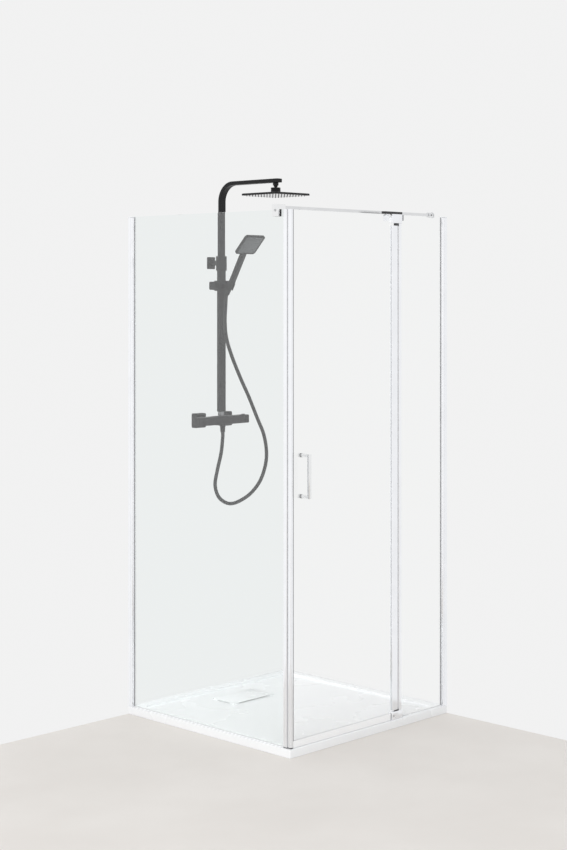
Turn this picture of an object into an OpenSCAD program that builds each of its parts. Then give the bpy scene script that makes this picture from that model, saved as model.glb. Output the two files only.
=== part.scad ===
// Corner shower enclosure, 900 mm square: tray, two glazed sides, a pivot door
// and the shower column that stands on the back wall inside it.
// The origin is the centre of the tray's underside, +Z is up, the door faces -Y,
// the fixed side glass faces -X, and the room's walls are at +X and +Y.

/* [Tray] */
// Side of the square tray
tray_w = 900; // [880:10:1000]
// Height of the tray
tray_h = 30; // [28:1:45]
// Depth of the standing area below the rim
tray_recess = 10; // [8:1:12]
// Width of the rim round the standing area
rim_w = 45; // [35:1:60]
// Radius of the corners of the standing area
recess_r = 30; // [10:5:60]
// Distance of the drain from the tray's centre, along the back wall
drain_x = 5; // [-60:5:60]
// Distance of the drain from the tray's back edge
drain_back = 195; // [180:5:240]
// Length of the drain cover
cover_l = 230; // [200:5:260]
// Depth of the drain cover
cover_d = 126; // [116:2:140]
// Thickness of the drain cover's plate
cover_t = 3; // [2:0.5:4]
// Height of the slit under the edge of the drain cover
cover_slit = 2.5; // [2:0.5:4]
// Radius of the waste outlet's bore
waste_r = 31; // [25:1:32]

/* [Glass] */
// Height of the glass line above the tray
glass_h = 1950; // [1850:10:2000]
// Thickness of the glass
glass_t = 6; // [5:1:6]
// Distance from the tray's edge to the outer face of the glass
glass_inset = 12; // [12:1:16]
// Gap left between a pane and what holds it
glass_gap = 0.3; // [0.2:0.1:0.5]
// Height of the sealing bead under a fixed pane
bead_h = 3; // [2:0.5:4]

/* [Wall profiles] */
// Width of a wall profile along the glass
wall_prof_w = 25; // [24:1:35]
// Thickness of a wall profile across the glass
wall_prof_t = 20; // [18:1:24]
// How far a pane goes into its wall profile
wall_prof_grip = 12; // [10:1:16]
// Thickness of a wall profile's web
wall_prof_web = 3; // [2.5:0.5:4]
// Radius of the fixing holes in a wall profile
fixing_r = 3.25; // [2.5:0.25:4]
// Distance between the fixing holes
fixing_step = 600; // [500:50:600]
// Number of fixing holes in each wall profile
fixing_n = 4; // [2:1:4]

/* [Corner] */
// Thickness of the side glass's corner profile across the glass
edge_t = 12; // [11:0.5:14]
// Width of the door's corner profile
door_edge_w = 12.5; // [11:0.5:16]
// Depth of the door's corner profile across the glass
door_edge_d = 18; // [15:0.5:20]
// Width of the side glass's corner profile
side_edge_w = 16.5; // [14:0.5:20]
// Gap between the two corner profiles when the door is shut
edge_gap = 0.5; // [0.4:0.1:1]

/* [Hinge column] */
// Distance of the door's pivot axis from the tray's centre
pivot_x = 153; // [140:1:160]
// Width of the door's hinge rail up to the pivot axis
rail_w = 30; // [24:1:32]
// Thickness of the hinge rail
rail_t = 14; // [13:1:16]
// Thickness of the hinge post
post_t = 16; // [14:1:18]
// Width of the hinge post
post_w = 14; // [14:1:20]
// Gap between the hinge rail's nose and the post
post_gap = 3; // [2:0.1:4]
// Reach of the pivot blocks from the pivot axis towards the door
block_reach = 34; // [34:1:38]
// Thickness of the pivot blocks across the glass
block_t = 22; // [20:1:24]
// Height of the lower pivot block
foot_block_h = 32; // [28:1:38]
// Height of the upper pivot block
head_block_h = 35; // [30:1:38]
// Radius of the pivot pins
pin_r = 4; // [3:0.5:4.5]
// Running gap between a pivot pin and its bush
pin_play = 0.05; // [0.03:0.01:0.08]
// Radius of the pivot bushes' collars
bush_r = 8.5; // [8:0.5:9]
// Height of the collar of the upper bush
bush_h = 9; // [7:1:16]

/* [Door] */
// Height of the sealing strip along the foot of the door
drip_h = 25; // [18:1:30]
// Centre of the handle above the tray's underside
handle_z = 1012; // [900:1:1150]
// Overall length of the handle
handle_l = 162; // [140:1:220]
// Distance from the glass to the middle of the grip
handle_reach = 38; // [34:1:55]
// Thickness of the grip
grip_t = 13; // [11:1:16]
// Distance from the handle to the door's free edge
handle_in = 60; // [45:1:80]

/* [Stabiliser bar] */
// Side of the square bar
bar_t = 12; // [10:1:14]
// Height of the middle of the bar above the glass line
bar_up = 9; // [9:0.5:11]
// Distance of the bar behind the door's glass
bar_in = 62; // [50:1:70]
// Length of the glass clamp along the side glass
clamp_l = 34; // [28:1:56]
// Height of the glass clamp
clamp_h = 45; // [40:1:50]
// Length of the bar's wall socket
socket_l = 30; // [24:1:40]
// Distance that the black stop strip reaches over the door
strip_reach = 79; // [60:1:110]

/* [Shower column] */
// Distance of the column from the tray's centre
col_x = 0; // [-40:5:40]
// Distance of the riser's axis from the wall
wall_gap = 68; // [64:1:75]
// Height of the mixer's axis
mixer_z = 1148; // [1100:1:1200]
// Length of the mixer with its knobs
mixer_l = 286; // [276:2:310]
// Height of the mixer's body
mixer_h = 36; // [34:1:40]
// Depth of the mixer's body
mixer_d = 40; // [38:1:44]
// Length of each knob
knob_l = 54; // [48:1:60]
// Distance between the two water inlets
inlet_pitch = 150; // [140:1:160]
// Side of the square cover plates at the inlets
rosette_w = 60; // [54:1:66]
// Thickness of the cover plates
rosette_t = 25; // [12:1:28]
// Outer width of the lower riser tube
riser_w = 34.5; // [30:0.5:36]
// Outer depth of the lower riser tube
riser_d = 19.3; // [18:0.1:22]
// Wall of the riser tubes
tube_wall = 1.6; // [1.2:0.1:2]
// Sliding gap between one tube and the next
tube_play = 0.3; // [0.2:0.05:0.4]
// Height of the top of the lower riser tube
riser_top = 1815; // [1800:5:1850]
// Height of the middle of the upper arm
arm_z = 2128; // [2100:1:2160]
// Distance from the riser's axis to the rain head's axis
arm_reach = 314; // [300:1:360]
// Radius of the arm's bend, at its middle line
bend_r = 74; // [65:1:100]
// How far the arm can be raised
arm_up = 200; // [150:10:200]
// Side of the square rain head
head_w = 200; // [180:5:220]
// Thickness of the rain head
head_t = 8; // [7:0.5:10]
// Number of nozzles along each side of the rain head
nozzle_n = 11; // [7:1:12]

/* [Hand shower] */
// Height of the slider on the riser
slider_z = 1706; // [1650:1:1712]
// Height of the slider
slider_h = 42; // [38:1:48]
// Lean of the hand shower from upright, in degrees
lean = 30; // [25:1:32]
// Width of the hand shower's face
face_w = 110; // [100:1:120]
// Length of the hand shower's face
face_l = 99; // [90:1:110]
// Thickness of the hand shower's head
face_t = 11; // [9:1:13]
// Width of the hand shower's grip
stem_w = 27; // [22:1:28]
// Thickness of the hand shower's grip
stem_t = 19; // [15:1:20]
// Radius of the hose
hose_r = 7.5; // [6:0.5:8]

/* [Hidden] */
$fn = 48;

// Main planes
half = tray_w / 2;
floor_z = tray_h - tray_recess;
glass_out = half - glass_inset;
glass_in = glass_out - glass_t;
glass_mid = glass_out - glass_t / 2;
top_z = tray_h + glass_h;
slot = glass_t + 2 * glass_gap;
pane_z0 = tray_h + bead_h;
joint = 0.05;

// Drain
pocket_depth = 8;
cover_reach = 20;
pocket_z = floor_z - pocket_depth;
pocket_l = cover_l - 2 * cover_reach;
pocket_d = cover_d - 2 * cover_reach;
waste_wall = 3.7;
flange_lip_r = waste_r + 10;
flange_t = 3;
strainer_t = 1.5;
strainer_r = flange_lip_r - 3;
strainer_hole_r = 4;
strainer_ring = 12;
cover_leg = 28;
drain_y = half - drain_back;

// Glazing strips
strip_out = 2;

// Corner profiles
cap_t = 3;
foot_t = 3;
door_edge_out = glass_mid + edge_t / 2;
door_edge_in = door_edge_out - door_edge_d;
door_shift = 2.5;
door_x0 = glass_mid + door_shift;
side_y0 = door_edge_in - edge_gap;
side_y1 = side_y0 - side_edge_w;
edge_wall = 6;
magnet_t = 2;
magnet_w = 6;

// Hinge column
nose_r = rail_t / 2;
rail_x0 = pivot_x - rail_w;
post_x0 = pivot_x + nose_r + post_gap;
block_x0 = pivot_x - block_reach;
post_x1 = post_x0 + post_w;
block_over = 3;
block_x1 = post_x1 + block_over;
foot_block_z = tray_h + foot_block_h;
head_block_z = top_z + 1 - head_block_h;
foot_bush_h = 4;
bush_rest = 0.3;
rail_z0 = foot_block_z + bush_rest + foot_bush_h;
rail_z1 = head_block_z - bush_rest - bush_h;
sleeve_r = pin_r + 1.5;
sleeve_l = 20;
pin_in = 16;
block_sweep = norm([block_reach, block_t / 2]);
notch_gap = 1.5;
notch_x = pivot_x - block_sweep - notch_gap;
grip_in = 8;
seal_gap = 0.4;
seal_t = post_gap - seal_gap;
seal_w = 5;

// Door
drip_t = 12;
drip_z0 = tray_h + 1;
door_pane_z0 = tray_h + 6;
washer_r = 7.5;
washer_t = 3;
bolt_r = 3;
bolt_in = 10;
bolt_cap_r = 8;
bolt_cap_h = 9;
handle_x = -(door_x0 - handle_in);
grip_y = -(glass_out + handle_reach);
standoff_z = handle_l / 2 - grip_t / 2;

// Stabiliser bar
bar_y = -(glass_mid - bar_in);
bar_z = top_z + bar_up;
clamp_t = 12;
clamp_in = 20;
gasket_t = 1;
pad_t = 6;
clamp_over = 5;
clamp_z0 = bar_z + bar_t / 2 + clamp_over - clamp_h;
bar_seat = 8;
bar_end_gap = 3;
socket_wall = 4;
bar_x0 = -glass_in + clamp_in - bar_seat;
saddle_w = 26;
saddle_lift = 10;
strip_h = 9;
strip_x0 = pivot_x - strip_reach + block_t / 2;
strip_z0 = head_block_z + head_block_h;
screw_r = 2.5;
screw_head_t = 0.6;
screw_in = 9;
screw_l = 7;

// Column
col_y = half - wall_gap;
body_half = mixer_l / 2 - knob_l;
knob_gap = 0.4;
knob_w = mixer_d - 2;
knob_h = mixer_h - 2;
stem_r = 6;
stem_l = 9;
stem_hole = 11;
button_x = 30;
button_h = 8;
button_in = 5;
button_gap = 0.3;
shank_r = 10;
union_r = 10.48;
union_out = 12;
union_in = 15;
inlet_nut_r = 13;
riser_nut_h = 18;
riser_nut_r = 11;
riser_z0 = mixer_z + mixer_h / 2 + riser_nut_h;
bore_w = riser_w - 2 * tube_wall;
bore_d = riser_d - 2 * tube_wall;
arm_w = bore_w - 2 * tube_play;
arm_t = bore_d - 2 * tube_play;
collar_w = riser_w + 6;
collar_d = riser_d + 6;
collar_h = 60;
collar_top = riser_top + 14;
bracket_z = riser_top - 14;
bracket_h = 50;
bracket_t = 10;
bracket_w = 38;
rod_w = 16;
rod_h = 20;
arm_hold = 60;
arm_bottom = riser_top - arm_up - arm_hold;
head_y = col_y - arm_reach;
arm_ease = 1.6;
arm_wall = 1.6;
arm_end_t = 2;
arm_end = head_y - 18;
neck_r = 11.5;
neck_tip_r = 5;
ball_r = 9;
seat_r = ball_r + 1.5;
ball_play = 0.3;
nut_r = 19.5;
nut_h = 24;
neck_l = 18;
neck_foot_r = 7.8;
neck_foot_l = 6;
neck_gap = 2.3;
neck_z0 = arm_z - arm_t / 2 - neck_l;
nut_top = neck_z0 - neck_gap;
ball_z = nut_top - 7;
head_top = nut_top - nut_h;
head_r = 12;
nozzle_mat_t = 1;
nozzle_l = 3.5;
nozzle_edge = 12;

// Hand shower
slider_w = riser_w + 14;
slider_d = riser_d + 20;
slide_play = 0.3;
lug_y = col_y - slider_d / 2 - 4;
lug_r = 8;
lug_w = 14;
cheek_t = 7;
cheek_gap = 0.3;
cheek_x = lug_w / 2 + cheek_gap + cheek_t;
holder_out = 31;
holder_y = lug_y - holder_out;
socket_r = 16;
socket_bore_r = 12.3;
socket_up = 14;
socket_down = 16;
hose_slot = 15;
cone_r = 11.8;
cone_end_r = 9;
cone_down = 40;
shoulder_h = 6;
stem_s0 = socket_up + 0.4;
face_up = 203;
face_out = 15.3;
face_tilt = 14;
spray_t = 2;
knob_reach = 30;
slider_knob_w = 34;
slider_knob_ease = 8;
slider_stem_l = 5;
button_w = 14;
button_d = 10;
hose_nut_l = 32;
outlet_y = col_y - 8;
hose_z0 = mixer_z - mixer_h / 2 - hose_nut_l;
nut_play = 0.3;

// Point on the hand shower's axis, s along it from the middle of its holder
function stem_point(s) = [col_x, holder_y - s * sin(lean), slider_z + s * cos(lean)];

// Route of the hose from the mixer's outlet to the hand shower
HOSE = [
    [col_x, outlet_y, hose_z0 - nut_play], [col_x, outlet_y, hose_z0 - 20],
    [-7, 376, 1014], [-29, 376, 942], [-43, 374, 880], [-20, 370, 826],
    [43, 366, 799], [129, 360, 823], [190, 354, 872], [222, 350, 934],
    [231, 348, 999], [213, 346, 1076], [172, 344, 1149], [121, 344, 1243],
    [71, 344, 1326], [24, 346, 1417], [-3, 349, 1492], [-9, 351, 1560],
    [-5, 352, 1615], stem_point(-cone_down - 12), stem_point(-cone_down - nut_play)
];
hose_cuts = 3;
hose_sides = 10;

// Shapes shared by several pieces
module slab(x0, x1, y0, y1, z0, z1) {
    translate([x0, y0, z0]) cube([x1 - x0, y1 - y0, z1 - z0]);
}

// Upright bar whose four long edges are chamfered by c
module edged_bar(x0, x1, y0, y1, z0, z1, c) {
    translate([0, 0, z0]) linear_extrude(z1 - z0) polygon([
        [x0 + c, y0], [x1 - c, y0], [x1, y0 + c], [x1, y1 - c],
        [x1 - c, y1], [x0 + c, y1], [x0, y1 - c], [x0, y0 + c]
    ]);
}

// Upright plate with round corners
module round_plate(w, d, h, r) {
    translate([-w / 2 + r, -d / 2, 0]) cube([w - 2 * r, d, h]);
    translate([-w / 2, -d / 2 + r, 0]) cube([w, d - 2 * r, h]);
    for (x = [-1, 1], y = [-1, 1])
        translate([x * (w / 2 - r), y * (d / 2 - r), 0]) cylinder(h = h, r = r);
}

// Cylinder along X, Y or Z from the origin
module rod_x(l, r) { rotate([0, 90, 0]) cylinder(h = l, r = r); }
module rod_y(l, r) { rotate([-90, 0, 0]) cylinder(h = l, r = r); }

// The side profile, glass and seals are the door side's own, turned about the corner's diagonal
module to_side() { mirror([1, -1, 0]) children(); }

module wall_profile() {
    difference() {
        edged_bar(half - wall_prof_w, half, -half, -half + wall_prof_t, tray_h, top_z - cap_t, 1);
        slab(half - wall_prof_w - 1, half - wall_prof_web, -glass_out - gasket_t - glass_gap,
            -glass_in + glass_gap, tray_h - 1, top_z);
        for (i = [0:fixing_n - 1])
            translate([half - wall_prof_web - 1, -glass_mid, fixing_z(i)])
                rod_x(wall_prof_web + 2, fixing_r);
    }
    difference() {
        edged_bar(half - wall_prof_w, half, -half, -half + wall_prof_t, top_z - cap_t, top_z, 1);
        slab(half - wall_prof_w - 1, half - wall_prof_w + wall_prof_grip + glass_gap,
            -glass_out - glass_gap, -glass_in + glass_gap, top_z - cap_t - 1, top_z + 1);
    }
}

function fixing_z(i) = tray_h + glass_h / 2 + (i - (fixing_n - 1) / 2) * fixing_step;

module glazing_strip() {
    slab(half - wall_prof_w - strip_out, half - wall_prof_w + 8, -glass_out - gasket_t,
        -glass_out, pane_z0, top_z - cap_t - 1);
}

module bottom_bead(x0, x1) {
    slab(x0, x1, -glass_out - 1, -glass_in + 1, tray_h, tray_h + bead_h);
}

// Tray, waste and drain cover

module shower_tray() {
    color("white") difference() {
        round_plate(tray_w, tray_w, tray_h, 4);
        translate([0, 0, floor_z])
            round_plate(tray_w - 2 * rim_w, tray_w - 2 * rim_w, tray_h, recess_r);
        translate([drain_x, drain_y, pocket_z]) round_plate(pocket_l, pocket_d, tray_h, 8);
        translate([drain_x, drain_y, -1]) cylinder(h = tray_h, r = waste_r + waste_wall + joint);
    }
}

module waste_flange() {
    color("silver") translate([drain_x, drain_y, 0]) difference() {
        union() {
            translate([0, 0, pocket_z]) cylinder(h = flange_t, r = flange_lip_r);
            translate([0, 0, 1]) cylinder(h = pocket_z, r = waste_r + waste_wall);
        }
        cylinder(h = tray_h, r = waste_r);
    }
}

module drain_strainer() {
    color("silver") translate([drain_x, drain_y, pocket_z + flange_t]) difference() {
        cylinder(h = strainer_t, r = strainer_r);
        for (ring = [0:2], i = [0:max(0, ring * 6 - 1)])
            rotate([0, 0, i * 360 / max(1, ring * 6)]) translate([ring * strainer_ring, 0, -1])
                cylinder(h = strainer_t + 2, r = strainer_hole_r);
    }
}

module drain_cover() {
    color("white") translate([drain_x, drain_y, floor_z]) {
        translate([0, 0, cover_slit]) round_plate(cover_l, cover_d, cover_t, 3);
        for (x = [-1, 1], y = [-1, 1])
            translate([x * (cover_l - cover_leg) / 2, y * (cover_d - cover_leg) / 2, 0])
                round_plate(cover_leg, cover_leg, cover_slit, 2);
    }
}

// Fixed side of the enclosure

module side_wall_profile() { color("gainsboro") to_side() wall_profile(); }

module side_glass() {
    color("lightcyan", 0.3)
        slab(-glass_out, -glass_in, -side_y0 + edge_wall + glass_gap,
            half - wall_prof_w + wall_prof_grip, pane_z0, top_z);
}

module glazing_gaskets() {
    color("dimgray") {
        glazing_strip();
        to_side() glazing_strip();
    }
}

module pane_bottom_seals() {
    color("gray") {
        bottom_bead(block_x1 + glass_gap, half - wall_prof_w);
        to_side() bottom_bead(-side_y1, half - wall_prof_w);
    }
}

module side_edge_profile() {
    color("silver") difference() {
        edged_bar(-glass_mid - edge_t / 2, -glass_mid + edge_t / 2, -side_y0, -side_y1,
            tray_h + foot_t, top_z, 0.8);
        slab(-glass_mid - slot / 2, -glass_mid + slot / 2, -side_y0 + edge_wall, -side_y1 + 1,
            tray_h, top_z + 1);
        slab(-glass_mid - magnet_w / 2, -glass_mid + magnet_w / 2, -side_y0 - 1,
            -side_y0 + magnet_t, tray_h, top_z + 1);
    }
}

module side_magnet_strip() {
    color("dimgray") slab(-glass_mid - magnet_w / 2, -glass_mid + magnet_w / 2, -side_y0,
        -side_y0 + magnet_t, tray_h + foot_t, top_z);
}

module side_profile_foot() {
    color("dimgray") edged_bar(-glass_mid - edge_t / 2, -glass_mid + edge_t / 2, -side_y0,
        -side_y1, tray_h, tray_h + foot_t, 0.8);
}

// Door front: fixed narrow pane and its wall profile

module door_wall_profile() { color("gainsboro") wall_profile(); }

module narrow_glass() {
    color("lightcyan", 0.3) difference() {
        slab(post_x1 - grip_in + glass_gap, half - wall_prof_w + wall_prof_grip, -glass_out, -glass_in,
            pane_z0, top_z);
        slab(post_x0, block_x1 + 0.5, -glass_out - 1, -glass_in + 1, tray_h, foot_block_z + 1);
        slab(post_x0, block_x1 + 0.5, -glass_out - 1, -glass_in + 1, head_block_z - 1, top_z + 1);
    }
}

module hinge_post() {
    color("silver") difference() {
        edged_bar(post_x0, post_x1, -glass_mid - post_t / 2, -glass_mid + post_t / 2,
            foot_block_z, head_block_z, 0.8);
        slab(post_x1 - grip_in, post_x1 + 1, -glass_mid - slot / 2, -glass_mid + slot / 2,
            foot_block_z - 1, head_block_z + 1);
    }
}

module hinge_post_seal() {
    color("gray") for (s = [-1, 1])
        slab(post_x0 - seal_t, post_x0, -glass_mid + s * post_t / 4 - seal_w / 2,
            -glass_mid + s * post_t / 4 + seal_w / 2, rail_z0, rail_z1);
}

module pivot_block(z0, h) {
    edged_bar(block_x0, block_x1, -glass_mid - block_t / 2, -glass_mid + block_t / 2, z0, z0 + h, 1);
}

module bottom_pivot_block() {
    color("silver") difference() {
        pivot_block(tray_h, foot_block_h);
        translate([pivot_x, -glass_mid, foot_block_z - pin_in])
            cylinder(h = pin_in + 1, r = pin_r);
        translate([block_x0 + screw_in, -glass_mid - block_t / 2 - 1, tray_h + foot_block_h / 2])
            rod_y(screw_l + 1, screw_r);
    }
}

module top_pivot_block() {
    color("silver") difference() {
        pivot_block(head_block_z, head_block_h);
        translate([pivot_x, -glass_mid, head_block_z - 1]) cylinder(h = pin_in + 1, r = pin_r);
    }
}

module pivot_pins() {
    color("dimgray") {
        translate([pivot_x, -glass_mid, foot_block_z - pin_in])
            cylinder(h = 2 * pin_in, r = pin_r);
        translate([pivot_x, -glass_mid, head_block_z - bush_h - pin_in])
            cylinder(h = 2 * pin_in + bush_h, r = pin_r);
    }
}

module top_stop_strip() {
    color("black") {
        slab(strip_x0, block_x1 - 1, -glass_mid - block_t / 2, -glass_mid + block_t / 2,
            strip_z0, strip_z0 + strip_h);
        translate([strip_x0, -glass_mid, strip_z0]) cylinder(h = strip_h, r = block_t / 2);
    }
}

module bar_saddle() {
    color("silver") edged_bar(block_x1 - saddle_w, block_x1, -glass_mid + block_t / 2,
        bar_y + bar_t / 2 + 1, head_block_z + saddle_lift, bar_z - bar_t / 2, 1);
}

module support_bar() {
    color("gainsboro") translate([bar_x0, bar_y, bar_z]) rotate([0, 90, 0])
        linear_extrude(half - bar_end_gap - bar_x0) polygon([
            [-bar_t / 2 + 1, -bar_t / 2], [bar_t / 2 - 1, -bar_t / 2], [bar_t / 2, -bar_t / 2 + 1],
            [bar_t / 2, bar_t / 2 - 1], [bar_t / 2 - 1, bar_t / 2], [-bar_t / 2 + 1, bar_t / 2],
            [-bar_t / 2, bar_t / 2 - 1], [-bar_t / 2, -bar_t / 2 + 1]
        ]);
}

module corner_glass_clamp() {
    color("silver") difference() {
        edged_bar(-glass_out - clamp_t, -glass_in + clamp_in, bar_y - clamp_l / 2,
            bar_y + clamp_l / 2, clamp_z0, clamp_z0 + clamp_h, 1.5);
        slab(-glass_out - pad_t, -glass_in + gasket_t, bar_y - clamp_l, bar_y + clamp_l,
            clamp_z0 - 1, top_z + gasket_t);
        slab(bar_x0, -glass_in + clamp_in + 1, bar_y - bar_t / 2,
            bar_y + bar_t / 2, bar_z - bar_t / 2, bar_z + bar_t / 2);
    }
}

module clamp_gasket() {
    color("black") difference() {
        slab(-glass_out - pad_t, -glass_in + gasket_t, bar_y - clamp_l / 2, bar_y + clamp_l / 2,
            clamp_z0, top_z + gasket_t);
        slab(-glass_out, -glass_in, bar_y - clamp_l, bar_y + clamp_l, clamp_z0 - 1, top_z);
    }
}

module bar_wall_socket() {
    color("silver") translate([half - socket_l, bar_y, bar_z]) difference() {
        union() {
            rod_x(socket_l, bar_t / 2 + socket_wall);
            translate([socket_l - 4, 0, 0]) rod_x(4, bar_t / 2 + 6);
        }
        translate([-1, -bar_t / 2, -bar_t / 2]) cube([socket_l + 1 - bar_end_gap, bar_t, bar_t]);
        translate([screw_in, 0, -2 * bar_t]) cylinder(h = 2 * bar_t, r = screw_r + joint);
    }
}

module fixing_screws() {
    color("dimgray") {
        translate([block_x0 + screw_in, -glass_mid - block_t / 2 - screw_head_t,
            tray_h + foot_block_h / 2]) rod_y(screw_head_t, screw_r + 1.2);
        translate([block_x0 + screw_in, -glass_mid - block_t / 2, tray_h + foot_block_h / 2])
            rod_y(screw_l, screw_r);
        translate([-glass_out - clamp_t - screw_head_t, bar_y, clamp_z0 + clamp_h / 2])
            rod_x(screw_head_t, screw_r + 2);
        translate([half - socket_l + screw_in, bar_y, bar_z - bar_t / 2 - socket_wall - screw_head_t])
            cylinder(h = screw_head_t + socket_wall, r = screw_r);
    }
}

// Door

module door_glass() {
    color("lightcyan", 0.3) difference() {
        slab(-door_x0 + edge_wall + glass_gap, rail_x0 + grip_in - glass_gap, -glass_out, -glass_in,
            door_pane_z0, top_z);
        slab(notch_x, pivot_x, -glass_out - 1, -glass_in + 1, tray_h, rail_z0 + 0.5);
        slab(notch_x, pivot_x, -glass_out - 1, -glass_in + 1, rail_z1 - 0.5, top_z + 1);
        for (z = [-1, 1]) translate([handle_x, -glass_out - 1, handle_z + z * standoff_z])
            rod_y(glass_t + 2, bolt_r + 1.5);
    }
}

module door_hinge_rail() {
    color("silver") difference() {
        union() {
            slab(rail_x0, pivot_x, -glass_mid - rail_t / 2, -glass_mid + rail_t / 2, rail_z0, rail_z1);
            translate([pivot_x, -glass_mid, rail_z0]) cylinder(h = rail_z1 - rail_z0, r = nose_r);
        }
        slab(rail_x0 - 1, rail_x0 + grip_in, -glass_mid - slot / 2, -glass_mid + slot / 2,
            rail_z0 - 1, rail_z1 + 1);
        translate([pivot_x, -glass_mid, rail_z0 - 1])
            cylinder(h = sleeve_l + 1 + joint, r = sleeve_r + joint);
        translate([pivot_x, -glass_mid, rail_z1 - sleeve_l - joint])
            cylinder(h = sleeve_l + 1 + joint, r = sleeve_r + joint);
    }
}

module bush(collar_l) {
    difference() {
        union() {
            translate([0, 0, -collar_l]) cylinder(h = collar_l, r = bush_r);
            cylinder(h = sleeve_l, r = sleeve_r);
        }
        translate([0, 0, -collar_l - 1]) cylinder(h = collar_l + sleeve_l + 2, r = pin_r + pin_play);
    }
}

module pivot_bushes() {
    color("black") {
        translate([pivot_x, -glass_mid, rail_z0]) bush(foot_bush_h);
        translate([pivot_x, -glass_mid, rail_z1]) mirror([0, 0, 1]) bush(bush_h);
    }
}

module door_edge_profile() {
    color("silver") difference() {
        edged_bar(-door_x0, -door_x0 + door_edge_w, -door_edge_out, -door_edge_in,
            drip_z0 + foot_t, top_z, 0.8);
        slab(-door_x0 + edge_wall, -door_x0 + door_edge_w + 1, -glass_mid - slot / 2,
            -glass_mid + slot / 2, tray_h, top_z + 1);
        slab(-door_x0 + 1, -door_x0 + 1 + magnet_w, -door_edge_in - magnet_t, -door_edge_in + 1,
            tray_h, top_z + 1);
    }
}

module door_magnet_strip() {
    color("dimgray") slab(-door_x0 + 1, -door_x0 + 1 + magnet_w, -door_edge_in - magnet_t,
        -door_edge_in, drip_z0 + foot_t, top_z);
}

module door_profile_foot() {
    color("dimgray") edged_bar(-door_x0, -door_x0 + door_edge_w, -door_edge_out, -door_edge_in,
        drip_z0, drip_z0 + foot_t, 0.8);
}

module door_bottom_seal() {
    color("whitesmoke") difference() {
        edged_bar(-door_x0 + door_edge_w, notch_x - 1, -glass_mid - drip_t / 2,
            -glass_mid + drip_t / 2, drip_z0, drip_z0 + drip_h, 1);
        slab(-door_x0, notch_x, -glass_mid - glass_t / 2, -glass_mid + glass_t / 2,
            door_pane_z0, drip_z0 + drip_h + 1);
    }
}

module door_handle() {
    color("silver") translate([handle_x, 0, handle_z]) difference() {
        union() {
            edged_bar(-grip_t / 2, grip_t / 2, grip_y - grip_t / 2, grip_y + grip_t / 2,
                -handle_l / 2, handle_l / 2, 2);
            for (z = [-1, 1]) translate([0, grip_y, z * standoff_z])
                rod_y(handle_reach - washer_t, grip_t / 2);
        }
        for (z = [-1, 1]) translate([0, -glass_out - washer_t - bolt_in - 2, z * standoff_z])
            rod_y(bolt_in + 3, bolt_r + joint);
    }
}

module handle_washers() {
    color("dimgray") for (z = [-1, 1])
        translate([handle_x, -glass_out - washer_t, handle_z + z * standoff_z]) difference() {
            rod_y(washer_t, washer_r);
            translate([0, -1, 0]) rod_y(washer_t + 2, bolt_r + joint);
        }
}

module handle_bolts() {
    color("silver") for (z = [-1, 1])
        translate([handle_x, -glass_out - washer_t - bolt_in, handle_z + z * standoff_z]) {
            rod_y(bolt_in + washer_t + glass_t + 1, bolt_r);
            translate([0, bolt_in + washer_t + glass_t, 0]) rod_y(bolt_cap_h, bolt_cap_r);
        }
}

// Mixer

module mixer_body() {
    color("black") translate([col_x, col_y, mixer_z]) difference() {
        union() {
            slab(-body_half, body_half, -mixer_d / 2, mixer_d / 2, -mixer_h / 2 + 1, mixer_h / 2 - 1);
            slab(-body_half / 2, body_half / 2, -mixer_d / 2 - 1, mixer_d / 2, -mixer_h / 2, mixer_h / 2);
        }
        for (x = [-body_half - 1, body_half - stem_hole]) translate([x, 0, 0])
            rod_x(stem_hole + 1, stem_r + pin_play);
    }
}

module inlet_unions() {
    color("silver") for (s = [-1, 1]) translate([col_x + s * inlet_pitch / 2, half, mixer_z]) {
        translate([0, -rosette_t - union_in, 0]) rod_y(rosette_t + union_in, shank_r);
        rod_y(union_out, union_r);
    }
}

module inlet_nuts() {
    color("black") for (s = [-1, 1])
        translate([col_x + s * inlet_pitch / 2, col_y + mixer_d / 2, mixer_z]) difference() {
            rod_y(wall_gap - mixer_d / 2 - rosette_t, inlet_nut_r);
            translate([0, wall_gap - mixer_d / 2 - rosette_t - union_in - joint, 0])
                rod_y(union_in + 1, shank_r + joint);
        }
}

module wall_rosettes() {
    color("black") for (s = [-1, 1])
        translate([col_x + s * inlet_pitch / 2, half, mixer_z]) rotate([90, 0, 0]) difference() {
            round_plate(rosette_w, rosette_w, rosette_t, 6);
            translate([0, 0, -1]) cylinder(h = rosette_t + 2, r = shank_r + joint);
        }
}

// Knob that lies along +X from its face, with the stem that turns in the mixer
module knob() {
    translate([knob_gap, 0, 0]) rotate([0, 90, 0])
        round_plate(knob_h, knob_w, knob_l - knob_gap, 3);
    translate([-stem_l, 0, 0]) rod_x(stem_l + 1, stem_r);
}

module flow_knob() {
    color("black") translate([col_x - body_half, col_y, mixer_z]) mirror([1, 0, 0]) knob();
}

module temperature_knob() {
    color("black") translate([col_x + body_half, col_y, mixer_z]) difference() {
        knob();
        translate([button_x - button_gap, -button_d / 2 - button_gap, knob_h / 2 - button_h])
            cube([button_w + 2 * button_gap, button_d + 2 * button_gap, button_h + 1]);
    }
}

module safety_button() {
    color("dimgray") translate([col_x + body_half + button_x, col_y - button_d / 2,
        mixer_z + knob_h / 2 - button_in]) cube([button_w, button_d, button_h]);
}

// Riser, bracket and arm

module riser_nut() {
    color("silver") translate([col_x, col_y, mixer_z + mixer_h / 2])
        cylinder(h = riser_nut_h, r = riser_nut_r);
}

module lower_riser() {
    color("black") translate([col_x, col_y, riser_z0]) difference() {
        round_plate(riser_w, riser_d, riser_top - riser_z0, 3);
        translate([0, 0, 3]) round_plate(bore_w, bore_d, riser_top - riser_z0, 2);
    }
}

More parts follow.
